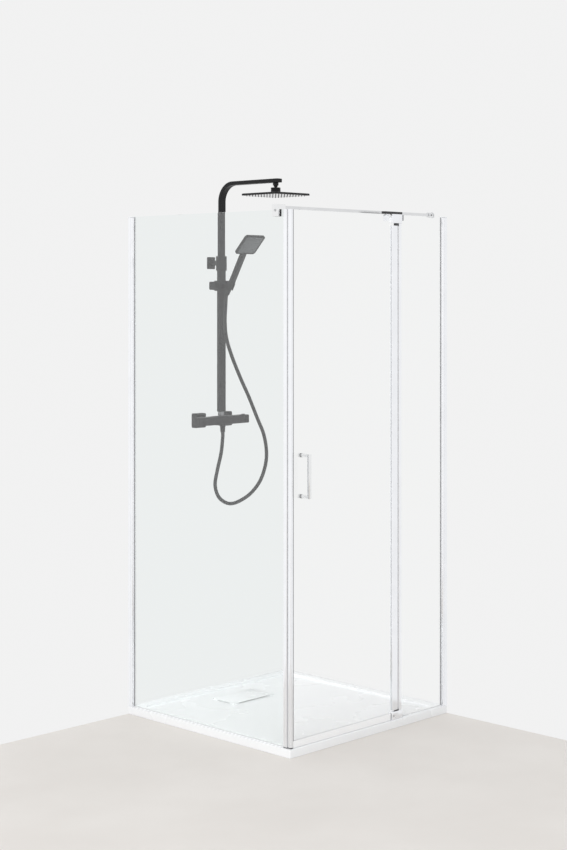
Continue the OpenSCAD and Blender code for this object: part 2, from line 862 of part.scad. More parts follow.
module wall_bracket() {
    color("black") {
        slab(col_x - bracket_w / 2, col_x + bracket_w / 2, half - bracket_t, half,
            bracket_z - bracket_h / 2, bracket_z + bracket_h / 2);
        slab(col_x - rod_w / 2, col_x + rod_w / 2, col_y + collar_d / 2, half - bracket_t,
            bracket_z - rod_h / 2, bracket_z + rod_h / 2);
    }
}

module height_collar() {
    color("black") translate([col_x, col_y, collar_top - collar_h]) difference() {
        edged_bar(-collar_w / 2, collar_w / 2, -collar_d / 2, collar_d / 2, 0, collar_h, 1.5);
        translate([0, 0, -1]) round_plate(riser_w, riser_d, riser_top - collar_top + collar_h + 1, 3);
        translate([0, 0, -1]) round_plate(bore_w, bore_d, collar_h + 2, 2);
    }
}

module eased_plate(d, w, c) {
    polygon([
        [-d / 2 + c, -w / 2], [d / 2 - c, -w / 2], [d / 2, -w / 2 + c], [d / 2, w / 2 - c],
        [d / 2 - c, w / 2], [-d / 2 + c, w / 2], [-d / 2, w / 2 - c], [-d / 2, -w / 2 + c]
    ]);
}

module arm_section() {
    difference() {
        eased_plate(arm_t, arm_w, arm_ease);
        square([arm_t - 2 * arm_wall, arm_w - 2 * arm_wall], center = true);
    }
}

module shower_arm() {
    color("black") translate([col_x, col_y, 0]) {
        translate([0, 0, arm_bottom]) rotate([0, 0, 90])
            linear_extrude(arm_z - bend_r - arm_bottom) arm_section();
        translate([0, -bend_r, arm_z - bend_r]) rotate([90, 0, 90])
            rotate_extrude(angle = 90) translate([bend_r, 0]) arm_section();
        translate([0, -bend_r, arm_z]) rotate([90, 0, 0]) rotate([0, 0, 90])
            linear_extrude(col_y - bend_r - arm_end) arm_section();
        translate([0, arm_end - col_y, arm_z]) rotate([90, 0, 0]) rotate([0, 0, 90])
            linear_extrude(arm_end_t) eased_plate(arm_t, arm_w, arm_ease);
    }
}

module head_neck_ball() {
    color("black") translate([col_x, head_y, 0]) {
        translate([0, 0, neck_z0 + neck_foot_l]) cylinder(h = neck_l - neck_foot_l, r = neck_r);
        translate([0, 0, neck_z0]) cylinder(h = neck_foot_l, r = neck_foot_r);
        translate([0, 0, ball_z]) cylinder(h = neck_z0 - ball_z, r = neck_tip_r);
        translate([0, 0, ball_z]) sphere(r = ball_r);
    }
}

module ball_seat_ring() {
    color("dimgray") translate([col_x, head_y, ball_z]) intersection() {
        difference() {
            sphere(r = seat_r);
            sphere(r = ball_r + ball_play);
        }
        translate([0, 0, -6]) cylinder(h = 8, r = seat_r + 1);
    }
}

module head_nut() {
    color("black") translate([col_x, head_y, 0]) difference() {
        translate([0, 0, head_top]) cylinder(h = nut_h, r = nut_r);
        translate([0, 0, ball_z]) sphere(r = seat_r + ball_play);
    }
}

module rain_head() {
    color("black") translate([col_x, head_y, head_top - head_t]) difference() {
        round_plate(head_w, head_w, head_t, head_r);
        translate([0, 0, -1]) round_plate(head_w - 2 * nozzle_edge, head_w - 2 * nozzle_edge,
            1 + nozzle_mat_t, head_r / 2);
    }
}

module rain_nozzles() {
    pitch = (head_w - 2 * nozzle_edge - 12) / (nozzle_n - 1);
    color("dimgray") translate([col_x, head_y, head_top - head_t]) {
        round_plate(head_w - 2 * nozzle_edge, head_w - 2 * nozzle_edge, nozzle_mat_t, head_r / 2);
        for (i = [0:nozzle_n - 1], j = [0:nozzle_n - 1])
            translate([(i - (nozzle_n - 1) / 2) * pitch, (j - (nozzle_n - 1) / 2) * pitch, -nozzle_l])
                cylinder(h = nozzle_l + nozzle_mat_t / 2, r = 1.6, $fn = 8);
    }
}

// Slider and hand shower

module slider_body() {
    color("black") translate([col_x, 0, slider_z]) difference() {
        union() {
            edged_bar(-slider_w / 2, slider_w / 2, col_y - slider_d / 2, col_y + slider_d / 2,
                -slider_h / 2, slider_h / 2, 1.5);
            translate([-lug_w / 2, lug_y, 0]) rod_x(lug_w, lug_r);
            slab(-lug_w / 2, lug_w / 2, lug_y, col_y - slider_d / 2 + 1, -lug_r, lug_r);
        }
        translate([0, col_y, -slider_h]) round_plate(riser_w + 2 * slide_play,
            riser_d + 2 * slide_play, 2 * slider_h, 3);
        for (x = [-cheek_x - cheek_gap, lug_w / 2]) translate([x, lug_y, 0])
            rod_x(cheek_t + 2 * cheek_gap, lug_r + 2 * cheek_gap);
        translate([-lug_w, lug_y, 0]) rod_x(2 * lug_w, pin_r + pin_play);
        translate([-slider_w / 2 - 1, col_y, 0]) rod_x(slider_stem_l + 1, pin_r + pin_play);
    }
}

module slider_knob() {
    color("black") translate([col_x - slider_w / 2 - knob_gap - knob_reach, col_y, slider_z]) {
        rotate([0, 90, 0])
            round_plate(slider_knob_w, slider_knob_w, knob_reach, slider_knob_ease);
        translate([knob_reach - 1, 0, 0]) rod_x(knob_gap + slider_stem_l, pin_r);
    }
}

module handset_holder() {
    color("black") translate([col_x, 0, slider_z]) {
        difference() {
            union() {
                translate([0, holder_y, 0]) rotate([lean, 0, 0]) translate([0, 0, -socket_down])
                    cylinder(h = socket_up + socket_down, r = socket_r);
                for (x = [-cheek_x, lug_w / 2 + cheek_gap]) translate([x, 0, 0]) {
                    translate([0, lug_y, 0]) rod_x(cheek_t, lug_r);
                    slab(0, cheek_t, holder_y + 6, lug_y, -lug_r, lug_r);
                }
            }
            translate([0, holder_y, 0]) rotate([lean, 0, 0]) {
                translate([0, 0, -socket_down - 20])
                    cylinder(h = socket_up + socket_down + 40, r = socket_bore_r);
                translate([-hose_slot / 2, -2 * socket_r, -socket_down - 1])
                    cube([hose_slot, 2 * socket_r, socket_up + socket_down + 2]);
            }
            translate([-lug_w / 2 - cheek_gap, lug_y - lug_r - 1, -lug_r - 1])
                cube([lug_w + 2 * cheek_gap, 2 * lug_r + 2, 2 * lug_r + 2]);
        }
        translate([-lug_w / 2 - 1, lug_y, 0]) rod_x(lug_w + 2, pin_r);
    }
}

// Places its children on the hand shower's axis, from the middle of the holder
module on_stem() {
    translate([col_x, holder_y, slider_z]) rotate([lean, 0, 0]) children();
}

module handset_body() {
    color("black") on_stem() difference() {
        union() {
            translate([0, 0, stem_s0]) cylinder(h = shoulder_h, r = socket_bore_r + 2);
            translate([0, 0, stem_s0]) round_plate(stem_w, stem_t, face_up - face_l / 2 - stem_s0 + 8, 4);
            translate([0, -face_out, face_up]) rotate([face_tilt, 0, 0])
                rotate([90, 0, 0]) translate([0, 0, -face_t / 2]) round_plate(face_w, face_l, face_t, 12);
        }
        translate([0, -face_out, face_up]) rotate([face_tilt, 0, 0]) rotate([90, 0, 0])
            translate([0, 0, face_t / 2 - spray_t]) round_plate(face_w - 14, face_l - 14, spray_t + 1, 8);
    }
}

module handset_spray_face() {
    color("gray") on_stem() translate([0, -face_out, face_up]) rotate([face_tilt, 0, 0])
        rotate([90, 0, 0]) translate([0, 0, face_t / 2 - spray_t]) {
            round_plate(face_w - 14.2, face_l - 14.2, spray_t - 0.5, 8);
            for (i = [-3:3], j = [-3:3]) translate([i * 12.5, j * 11, 0])
                cylinder(h = spray_t + 0.8, r = 1.4, $fn = 8);
        }
}

// Smooth curve through the points of the route
function at(p, i) = i < 0 ? 2 * p[0] - p[1] : i >= len(p) ? 2 * p[len(p) - 1] - p[len(p) - 2] : p[i];
function curve(p, i, t) = 0.5 * (2 * at(p, i) + (at(p, i + 1) - at(p, i - 1)) * t
    + (2 * at(p, i - 1) - 5 * at(p, i) + 4 * at(p, i + 1) - at(p, i + 2)) * t * t
    + (3 * at(p, i) - at(p, i - 1) - 3 * at(p, i + 1) + at(p, i + 2)) * t * t * t);
function unit(v) = v / norm(v);
hose_line = concat(
    [for (i = [0:len(HOSE) - 2], k = [0:hose_cuts - 1]) curve(HOSE, i, k / hose_cuts)],
    [HOSE[len(HOSE) - 1]]
);
function heading(p, i) = i == 0 ? unit(HOSE[1] - HOSE[0])
    : i == len(p) - 1 ? unit(HOSE[len(HOSE) - 1] - HOSE[len(HOSE) - 2]) : unit(p[i + 1] - p[i - 1]);
function ring(c, d, r, n) = let (u = unit(cross(d, [0, 1, 0])), v = cross(d, u))
    [for (k = [0:n - 1]) c + r * (cos(k * 360 / n) * u + sin(k * 360 / n) * v)];

module hose_tube() {
    n = hose_sides;
    m = len(hose_line);
    points = [for (i = [0:m - 1]) each ring(hose_line[i], heading(hose_line, i), hose_r, n)];
    sides = [for (i = [0:m - 2], k = [0:n - 1]) each [
        [i * n + k, i * n + (k + 1) % n, (i + 1) * n + k],
        [i * n + (k + 1) % n, (i + 1) * n + (k + 1) % n, (i + 1) * n + k]
    ]];
    ends = [[for (k = [n - 1:-1:0]) k], [for (k = [0:n - 1]) (m - 1) * n + k]];
    polyhedron(points, concat(sides, ends));
}

module shower_hose() { color("black") hose_tube(); }

module hose_nut_outlet() {
    color("black") translate([col_x, outlet_y, hose_z0])
        cylinder(h = hose_nut_l, r1 = hose_r + 2, r2 = hose_r + 4);
}

module hose_nut_handset() {
    color("black") on_stem() translate([0, 0, -cone_down])
        cylinder(h = cone_down + stem_s0, r1 = cone_end_r, r2 = cone_r);
}

shower_tray();
waste_flange();
drain_strainer();
drain_cover();
side_wall_profile();
side_glass();
glazing_gaskets();
pane_bottom_seals();
side_edge_profile();
side_magnet_strip();
side_profile_foot();
door_wall_profile();
narrow_glass();
hinge_post();
hinge_post_seal();
bottom_pivot_block();
top_pivot_block();
pivot_pins();
top_stop_strip();
bar_saddle();
support_bar();
corner_glass_clamp();
clamp_gasket();
bar_wall_socket();
fixing_screws();
door_glass();
door_hinge_rail();
pivot_bushes();
door_edge_profile();
door_magnet_strip();
door_profile_foot();
door_bottom_seal();
door_handle();
handle_washers();
handle_bolts();
mixer_body();
inlet_unions();
inlet_nuts();
wall_rosettes();
flow_knob();
temperature_knob();
safety_button();
riser_nut();
lower_riser();
wall_bracket();
height_collar();
shower_arm();
head_neck_ball();
ball_seat_ring();
head_nut();
rain_head();
rain_nozzles();
slider_body();
slider_knob();
handset_holder();
handset_body();
handset_spray_face();
hose_nut_outlet();
hose_nut_handset();
shower_hose();
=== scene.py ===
import math

import bpy
from mathutils import Matrix, Vector


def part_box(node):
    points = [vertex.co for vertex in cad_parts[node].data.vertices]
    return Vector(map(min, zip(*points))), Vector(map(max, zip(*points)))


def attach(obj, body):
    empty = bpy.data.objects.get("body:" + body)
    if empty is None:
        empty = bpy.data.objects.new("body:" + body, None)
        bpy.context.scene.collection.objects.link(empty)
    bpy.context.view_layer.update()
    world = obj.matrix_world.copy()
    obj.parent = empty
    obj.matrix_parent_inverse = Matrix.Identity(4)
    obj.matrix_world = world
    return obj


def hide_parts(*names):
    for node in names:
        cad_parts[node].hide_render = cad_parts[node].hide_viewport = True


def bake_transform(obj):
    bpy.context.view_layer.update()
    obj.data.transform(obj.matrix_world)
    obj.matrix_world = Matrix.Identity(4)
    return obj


# Corner shower enclosure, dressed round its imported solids. Metres, +Z up, the pivot door
# faces -Y, the fixed side glass faces -X, and the tray's underside is at height 0.
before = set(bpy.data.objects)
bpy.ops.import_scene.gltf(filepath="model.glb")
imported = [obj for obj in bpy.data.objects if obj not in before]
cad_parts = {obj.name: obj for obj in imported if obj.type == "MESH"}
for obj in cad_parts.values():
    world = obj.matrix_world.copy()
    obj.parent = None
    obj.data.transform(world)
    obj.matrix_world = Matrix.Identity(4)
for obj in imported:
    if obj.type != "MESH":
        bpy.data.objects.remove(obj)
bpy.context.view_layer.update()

# Camera
# It stands level in front of the free corner, at the height of the hand shower's holder and
# at the distance that a fit to the corners of the tray and the glass gave.
bpy.ops.object.select_all(action="DESELECT")
bpy.ops.object.camera_add(
    location=(-4.6495, -4.5253, 1.6797),
    rotation=(math.radians(90), 0, math.radians(-45.623)),
)
camera = bpy.context.object
camera.name = "camera"
camera.data.lens = 68.87
camera.data.sensor_width = 36
camera.data.shift_y = -0.1563
camera.data.dof.use_dof = False
bpy.context.scene.camera = camera
bpy.context.scene.view_settings.view_transform = "Standard"

# Light and floor
# A white studio room: an even white surround, one broad soft lamp from the left, and a pale
# floor that ends where the two walls would stand.
world = bpy.data.worlds.new("white_surround")
bpy.context.scene.world = world
world.use_nodes = True
nodes, links = world.node_tree.nodes, world.node_tree.links
fill_light = nodes["Background"]
fill_light.inputs["Color"].default_value = (0.975, 0.985, 1.0, 1.0)
fill_light.inputs["Strength"].default_value = 0.82
backdrop = nodes.new("ShaderNodeBackground")
backdrop.inputs["Color"].default_value = (0.885, 0.885, 0.885, 1.0)
mirrored = nodes.new("ShaderNodeBackground")
mirrored.inputs["Color"].default_value = (1.0, 1.0, 1.0, 1.0)
ray = nodes.new("ShaderNodeLightPath")
seen_or_through = nodes.new("ShaderNodeMath")
seen_or_through.operation = "MAXIMUM"
only_mirrored = nodes.new("ShaderNodeMath")
only_mirrored.operation = "SUBTRACT"
only_mirrored.use_clamp = True
lit_or_seen = nodes.new("ShaderNodeMixShader")
or_mirrored = nodes.new("ShaderNodeMixShader")
links.new(ray.outputs["Is Camera Ray"], seen_or_through.inputs[0])
links.new(ray.outputs["Is Transmission Ray"], seen_or_through.inputs[1])
links.new(seen_or_through.outputs[0], lit_or_seen.inputs["Fac"])
links.new(fill_light.outputs[0], lit_or_seen.inputs[1])
links.new(backdrop.outputs[0], lit_or_seen.inputs[2])
links.new(ray.outputs["Is Glossy Ray"], only_mirrored.inputs[0])
links.new(seen_or_through.outputs[0], only_mirrored.inputs[1])
links.new(only_mirrored.outputs[0], or_mirrored.inputs["Fac"])
links.new(lit_or_seen.outputs[0], or_mirrored.inputs[1])
links.new(mirrored.outputs[0], or_mirrored.inputs[2])
links.new(or_mirrored.outputs[0], nodes["World Output"].inputs["Surface"])

LAMP, LIT_POINT = Vector((-9.6, -4.4, 5.4)), Vector((0, 0, 0.4))
bpy.ops.object.light_add(type="AREA", location=LAMP)
lamp = bpy.context.object
lamp.name = "window_lamp"
lamp.data.shape = "SQUARE"
lamp.data.size = 6.0
lamp.data.energy = 520
lamp.visible_glossy = False
lamp.visible_camera = False
lamp.rotation_euler = (LIT_POINT - LAMP).to_track_quat("-Z", "Y").to_euler()


def surface(name, colours, mottle, gloss, grain, relief, metal=0.0, shine=0.5):
    """A finish with a faint mottle in its colour and gloss and a fine relief."""
    material = bpy.data.materials.new(name)
    material.use_nodes = True
    nodes, links = material.node_tree.nodes, material.node_tree.links
    shader = nodes["Principled BSDF"]
    shader.inputs["Metallic"].default_value = metal
    shader.inputs["Specular IOR Level"].default_value = shine
    place = nodes.new("ShaderNodeTexCoord")
    cloud = nodes.new("ShaderNodeTexNoise")
    cloud.inputs["Scale"].default_value = mottle
    cloud.inputs["Detail"].default_value = 4.0
    tint = nodes.new("ShaderNodeValToRGB")
    tint.color_ramp.elements[0].position = 0.35
    tint.color_ramp.elements[1].position = 0.65
    tint.color_ramp.elements[0].color = (*colours[0], 1.0)
    tint.color_ramp.elements[1].color = (*colours[1], 1.0)
    sheen = nodes.new("ShaderNodeMapRange")
    sheen.inputs["From Min"].default_value = 0.35
    sheen.inputs["From Max"].default_value = 0.65
    sheen.inputs["To Min"].default_value = gloss[0]
    sheen.inputs["To Max"].default_value = gloss[1]
    speck = nodes.new("ShaderNodeTexNoise")
    speck.inputs["Scale"].default_value = grain
    speck.inputs["Detail"].default_value = 3.0
    bump = nodes.new("ShaderNodeBump")
    bump.inputs["Strength"].default_value = 0.35
    bump.inputs["Distance"].default_value = relief
    links.new(place.outputs["Object"], cloud.inputs["Vector"])
    links.new(place.outputs["Object"], speck.inputs["Vector"])
    links.new(cloud.outputs["Fac"], tint.inputs["Fac"])
    links.new(cloud.outputs["Fac"], sheen.inputs["Value"])
    links.new(tint.outputs["Color"], shader.inputs["Base Color"])
    links.new(sheen.outputs["Result"], shader.inputs["Roughness"])
    links.new(speck.outputs["Fac"], bump.inputs["Height"])
    links.new(bump.outputs["Normal"], shader.inputs["Normal"])
    return material


ROOM_WALL, FLOOR_WIDTH = 0.45, 7.0
floor_centre = ROOM_WALL - FLOOR_WIDTH / 2
bpy.ops.object.select_all(action="DESELECT")
bpy.ops.mesh.primitive_plane_add(size=FLOOR_WIDTH, location=(floor_centre, floor_centre, -0.0006))
floor = bpy.context.object
floor.name = "floor"
floor.data.materials.append(
    surface(
        "pale_floor", [(0.745, 0.708, 0.668), (0.79, 0.756, 0.718)], 2.2, (0.5, 0.65), 60, 0.0004
    )
)

# Shower hose
# A smooth vinyl hose, 15 mm thick, drops from the mixer's outlet, hangs in one open loop
# and climbs to the hand shower. It is cut where the pieces that carry it move.
ROUTE = [
    (0, 374, 1097.7), (0, 374, 1078), (-7, 376, 1014), (-29, 376, 942), (-43, 374, 880),
    (-20, 370, 826), (43, 366, 799), (129, 360, 823), (190, 354, 872), (222, 350, 934),
    (231, 348, 999), (213, 346, 1076), (172, 344, 1149), (121, 344, 1243), (71, 344, 1326),
    (24, 346, 1417), (-3, 349, 1492), (-9, 351, 1560), (-5, 352, 1615), (0, 353.35, 1660.97),
    (0, 347.5, 1671.1),
]
CUTS = 8
RISE_CUT, SLIDER_CUT = 8 * CUTS, 15 * CUTS + CUTS // 2
HOLDER_CUT, NUT_CUT = 17 * CUTS + CUTS // 4, 20 * CUTS
HOSE_R = 0.0075
knots = [Vector(p) / 1000 for p in ROUTE]
knots = [2 * knots[0] - knots[1]] + knots + [2 * knots[-1] - knots[-2]]
hose_line = []
for before, start, end, after in zip(knots, knots[1:], knots[2:], knots[3:]):
    for step in range(CUTS):
        t = step / CUTS
        hose_line.append(
            0.5 * (2 * start + (end - before) * t
                   + (2 * before - 5 * start + 4 * end - after) * t * t
                   + (3 * start - before - 3 * end + after) * t ** 3)
        )
hose_line.append(knots[-2])

vinyl = surface(
    "black_vinyl", [(0.010, 0.010, 0.011), (0.014, 0.014, 0.015)], 30, (0.34, 0.44), 900, 0.00004,
    shine=0.3,
)


def hose_length(name, first, last):
    """One length of the hose, as a tube round its stretch of the line."""
    line = hose_line[first:last + 1]
    data = bpy.data.curves.new(name, "CURVE")
    data.dimensions = "3D"
    data.bevel_depth = HOSE_R
    data.bevel_resolution = 5
    data.use_fill_caps = True
    spline = data.splines.new("POLY")
    spline.points.add(len(line) - 1)
    for point, place in zip(spline.points, line):
        point.co = (*place, 1.0)
    tube = bpy.data.objects.new(name, data)
    bpy.context.scene.collection.objects.link(tube)
    bpy.ops.object.select_all(action="DESELECT")
    tube.select_set(True)
    bpy.context.view_layer.objects.active = tube
    bpy.ops.object.convert(target="MESH")
    tube = bpy.context.object
    bpy.ops.object.mode_set(mode="EDIT")
    bpy.ops.mesh.select_all(action="SELECT")
    bpy.ops.mesh.remove_doubles(threshold=1e-5)
    bpy.ops.object.mode_set(mode="OBJECT")
    tube.data.materials.append(vinyl)
    bpy.ops.object.shade_smooth_by_angle(angle=math.radians(50))
    length = sum((b - a).length for a, b in zip(line, line[1:]))
    return tube, line, length


lower_hose, lower_line, lower_length = hose_length("hose_lower", 0, RISE_CUT)
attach(lower_hose, "enclosure")
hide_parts("shower_hose")
rising_hose, rising_line, rising_length = hose_length("hose_rising", RISE_CUT, SLIDER_CUT)
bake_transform(rising_hose)
upper_hose, upper_line, upper_length = hose_length("hose_upper", SLIDER_CUT, HOLDER_CUT)
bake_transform(upper_hose)
top_hose, top_line, top_length = hose_length("hose_top", HOLDER_CUT, NUT_CUT)
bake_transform(top_hose)

# Shower tray
# A low square tray of white acrylic: a flat rim, a standing area 10 mm deeper with eased
# corners, and a pocket for the drain near the back wall. It lies flat on the floor.
acrylic = surface(
    "white_acrylic", [(0.86, 0.868, 0.876), (0.875, 0.882, 0.888)], 3, (0.24, 0.29), 260, 0.00004
)


def block(name, low, high):
    """A cube stretched between two corners, with its place in its mesh."""
    bpy.ops.object.select_all(action="DESELECT")
    low, high = Vector(low), Vector(high)
    bpy.ops.mesh.primitive_cube_add(size=1, location=(low + high) / 2)
    piece = bpy.context.object
    piece.name = piece.data.name = name
    piece.scale = high - low
    bpy.ops.object.transform_apply(location=True, rotation=True, scale=True)
    return piece


def round_edges(piece, test, radius, steps):
    """Rounds the edges whose two ends pass the test."""
    bpy.ops.object.select_all(action="DESELECT")
    piece.select_set(True)
    bpy.context.view_layer.objects.active = piece
    bpy.ops.object.mode_set(mode="EDIT")
    bpy.ops.mesh.select_mode(type="EDGE")
    bpy.ops.mesh.select_all(action="DESELECT")
    bpy.ops.object.mode_set(mode="OBJECT")
    corners = piece.data.vertices
    for edge in piece.data.edges:
        edge.select = test(corners[edge.vertices[0]].co, corners[edge.vertices[1]].co)
    bpy.ops.object.mode_set(mode="EDIT")
    bpy.ops.mesh.bevel(offset=radius, segments=steps, affect="EDGES")
    bpy.ops.object.mode_set(mode="OBJECT")


def along(axis):
    """The test for edges that run along one axis."""
    others = [i for i in range(3) if i != axis]
    return lambda a, b: all(abs(a[i] - b[i]) < 1e-6 for i in others)


upright = along(2)


def combine(piece, tool, how):
    """Cuts or welds a piece with a closed shape and takes that shape away."""
    saw = piece.modifiers.new("saw", "BOOLEAN")
    saw.operation = how
    saw.solver = "EXACT"
    saw.object = tool
    bpy.context.view_layer.objects.active = piece
    bpy.ops.object.modifier_apply(modifier=saw.name)
    bpy.data.objects.remove(tool)


def cut_away(piece, *tools):
    """Takes closed shapes out of a piece."""
    for tool in tools:
        combine(piece, tool, "DIFFERENCE")


def fit(piece, material, body, record_slot, *nodes):
    """Gives a finished piece its material and sets it on the body that carries it."""
    piece.data.materials.clear()
    piece.data.materials.append(material)
    bpy.ops.object.select_all(action="DESELECT")
    piece.select_set(True)
    bpy.context.view_layer.objects.active = piece
    bpy.ops.object.shade_smooth_by_angle(angle=math.radians(32))
    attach(piece, body)
    if nodes:
        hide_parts(*nodes)


def rod(name, start, end, radius, end_radius=None, sides=48):
    """A round bar or a taper from one point to another."""
    bpy.ops.object.select_all(action="DESELECT")
    start, end = Vector(start), Vector(end)
    bpy.ops.mesh.primitive_cone_add(
        vertices=sides, radius1=radius, radius2=radius if end_radius is None else end_radius,
        depth=(end - start).length, location=(start + end) / 2,
        rotation=(end - start).to_track_quat("Z", "Y").to_euler(),
    )
    piece = bpy.context.object
    piece.name = piece.data.name = name
    bpy.ops.object.transform_apply(location=True, rotation=True, scale=True)
    return piece


NEAR = 0.001  # how close to a face an edge counts as being on it
TRAY_TOP, STANDING_Z, STANDING_HALF = 0.03, 0.02, 0.405
WASTE_X, WASTE_Y, WASTE_R = 0.005, 0.255, 0.0347
tray = block("tray_shell", *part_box("shower_tray"))
round_edges(tray, upright, 0.004, 4)
round_edges(tray, lambda a, b: min(a.z, b.z) > TRAY_TOP - NEAR, 0.0025, 3)
standing_area = block(
    "standing_area", (-STANDING_HALF, -STANDING_HALF, STANDING_Z),
    (STANDING_HALF, STANDING_HALF, 0.06),
)
round_edges(standing_area, upright, 0.03, 10)
round_edges(standing_area, lambda a, b: max(a.z, b.z) < STANDING_Z + NEAR, 0.004, 4)
drain_pocket = block("drain_pocket", (-0.09, 0.212, 0.012), (0.10, 0.298, 0.05))
round_edges(drain_pocket, upright, 0.008, 5)
cut_away(
    tray, standing_area, drain_pocket,
    rod(
        "waste_hole", (WASTE_X, WASTE_Y, -TRAY_TOP), (WASTE_X, WASTE_Y, TRAY_TOP), WASTE_R,
        sides=64,
    ),
)
fit(tray, acrylic, "enclosure", "tray_white", "shower_tray")

# Waste and drain cover
# A pressed steel flange and strainer sit in the pocket. A white acrylic plate on four
# short feet covers them and leaves a dark slit all round; it lifts out for cleaning.
pressed_steel = surface(
    "pressed_steel", [(0.52, 0.53, 0.53), (0.62, 0.63, 0.63)], 60, (0.22, 0.34), 700, 0.00003,
    metal=1.0,
)


def dress(material, *names):
    """Gives a material to solids whose shape is right as it is."""
    for name in names:
        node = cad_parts[name]
        for slot in node.material_slots:
            slot.material = material
        if not node.material_slots:
            node.data.materials.append(material)


def ease(piece, width, steps=2):
    """Takes the sharpness off every edge that turns by more than 40 degrees."""
    soft = piece.modifiers.new("eased_edges", "BEVEL")
    soft.width = width
    soft.segments = steps
    soft.limit_method = "ANGLE"
    soft.angle_limit = math.radians(40)
    bpy.context.view_layer.objects.active = piece
    bpy.ops.object.modifier_apply(modifier=soft.name)


def weld(piece, *others):
    """Makes one closed shape of several that meet."""
    for other in others:
        combine(piece, other, "UNION")


dress(pressed_steel, "waste_flange", "drain_strainer")
low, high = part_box("drain_cover")
cover = block("drain_plate", (low.x, low.y, high.z - 0.003), high)
round_edges(cover, upright, 0.003, 4)
ease(cover, 0.0008)
LEG = 0.028
for x in (low.x, high.x - LEG):
    for y in (low.y, high.y - LEG):
        foot = block(
            "cover_foot", (x + 0.0002, y + 0.0002, low.z), (x + LEG, y + LEG, high.z - 0.0025)
        )
        round_edges(foot, upright, 0.002, 3)
        weld(cover, foot)
fit(cover, acrylic, "drain_lid", "tray_white", "drain_cover")

# Glass
# Three panes of clear toughened glass, 6 mm thick, with polished edges and a faint green
# cast. The side pane's glass is a darker copy of the door's, its tint painted shade; each stands in
# its profiles.


def toughened_glass(name, tint, index):
    """Clear glass of one cast, with a faint film that dulls it in places."""
    material = bpy.data.materials.new(name)
    material.use_nodes = True
    nodes, links = material.node_tree.nodes, material.node_tree.links
    shader = nodes["Principled BSDF"]
    shader.inputs["Base Color"].default_value = (*tint, 1.0)
    shader.inputs["Transmission Weight"].default_value = 1.0
    shader.inputs["IOR"].default_value = index
    place = nodes.new("ShaderNodeTexCoord")
    film = nodes.new("ShaderNodeTexNoise")
    film.inputs["Scale"].default_value = 3.0
    haze = nodes.new("ShaderNodeMapRange")
    haze.inputs["From Min"].default_value = 0.4
    haze.inputs["From Max"].default_value = 0.7
    haze.inputs["To Min"].default_value = 0.0
    haze.inputs["To Max"].default_value = 0.012
    links.new(place.outputs["Object"], film.inputs["Vector"])
    links.new(film.outputs["Fac"], haze.inputs["Value"])
    links.new(haze.outputs["Result"], shader.inputs["Roughness"])
    return material


# The side pane's darker tint is painted shade: it is the door's glass, darkened.
dress(toughened_glass("side_pane_shaded_glass", (0.925, 0.955, 0.950), 1.60), "side_glass")
dress(toughened_glass("door_pane_glass", (0.987, 0.992, 0.990), 1.50), "door_glass", "narrow_glass")
for name in ("side_glass", "door_glass", "narrow_glass"):
    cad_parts[name].visible_shadow = False
    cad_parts[name].visible_glossy = False

# Wall profiles
# On each wall a drawn channel, bright chromed, is screwed down through its web. The pane's
# own profile slides in it, which leaves a line on its face, and a cap closes the top.
chrome = surface(
    "bright_chrome", [(0.855, 0.865, 0.89), (0.885, 0.895, 0.92)], 14, (0.08, 0.12), 500, 0.00001,
    metal=0.65,
)


def to_side(piece, name):
    """The side glass has the door front's own profile, turned about the corner's diagonal."""
    twin = piece.copy()
    twin.data = piece.data.copy()
    twin.name = twin.data.name = name
    bpy.context.scene.collection.objects.link(twin)
    twin.data.transform(Matrix(((0, 1, 0, 0), (1, 0, 0, 0), (0, 0, 1, 0), (0, 0, 0, 1))))
    twin.data.flip_normals()
    return twin


GLASS_MIDDLE, GLASS_TOP = -0.435, 1.98
SLOT_FRONT, SLOT_BACK = -0.4383, -0.4317
CHANNEL_X, CHANNEL_FRONT, CHANNEL_BACK = 0.425, -0.45, -0.43
SEAM_X, SEAM_W = 0.4342, 0.0008
FIRST_HOLE, HOLE_PITCH, HOLE_R = 0.105, 0.6, 0.00325
CUT_FOOT, CUT_TOP = 0.02, 1.99
channel = block(
    "door_wall_channel", (CHANNEL_X, CHANNEL_FRONT, TRAY_TOP), (ROOM_WALL, CHANNEL_BACK, 1.9765)
)
ease(channel, 0.0012, 3)
cut_away(
    channel,
    block("pane_slot", (0.42, -0.4393, CUT_FOOT), (0.447, SLOT_BACK, CUT_TOP)),
    block("front_seam", (SEAM_X, -0.452, CUT_FOOT), (SEAM_X + SEAM_W, -0.4494, CUT_TOP)),
    block("back_seam", (SEAM_X, -0.4306, CUT_FOOT), (SEAM_X + SEAM_W, -0.42, CUT_TOP)),
)
for i in range(4):
    height = FIRST_HOLE + HOLE_PITCH * i
    hole = rod("fixing_hole", (0.44, GLASS_MIDDLE, height), (0.46, GLASS_MIDDLE, height), HOLE_R)
    cut_away(channel, hole)
cap = block(
    "channel_cap", (CHANNEL_X, CHANNEL_FRONT, 1.977), (ROOM_WALL, CHANNEL_BACK, GLASS_TOP)
)
ease(cap, 0.0007)
cut_away(cap, block("cap_notch", (0.42, SLOT_FRONT, 1.97), (0.4373, SLOT_BACK, CUT_TOP)))
side_channel = to_side(channel, "side_wall_channel")
side_cap = to_side(cap, "side_channel_cap")
fit(channel, chrome, "enclosure", "profile_chrome", "door_wall_profile")
fit(cap, chrome, "enclosure", "profile_chrome")
fit(side_channel, chrome, "enclosure", "profile_chrome", "side_wall_profile")
fit(side_cap, chrome, "enclosure", "profile_chrome")

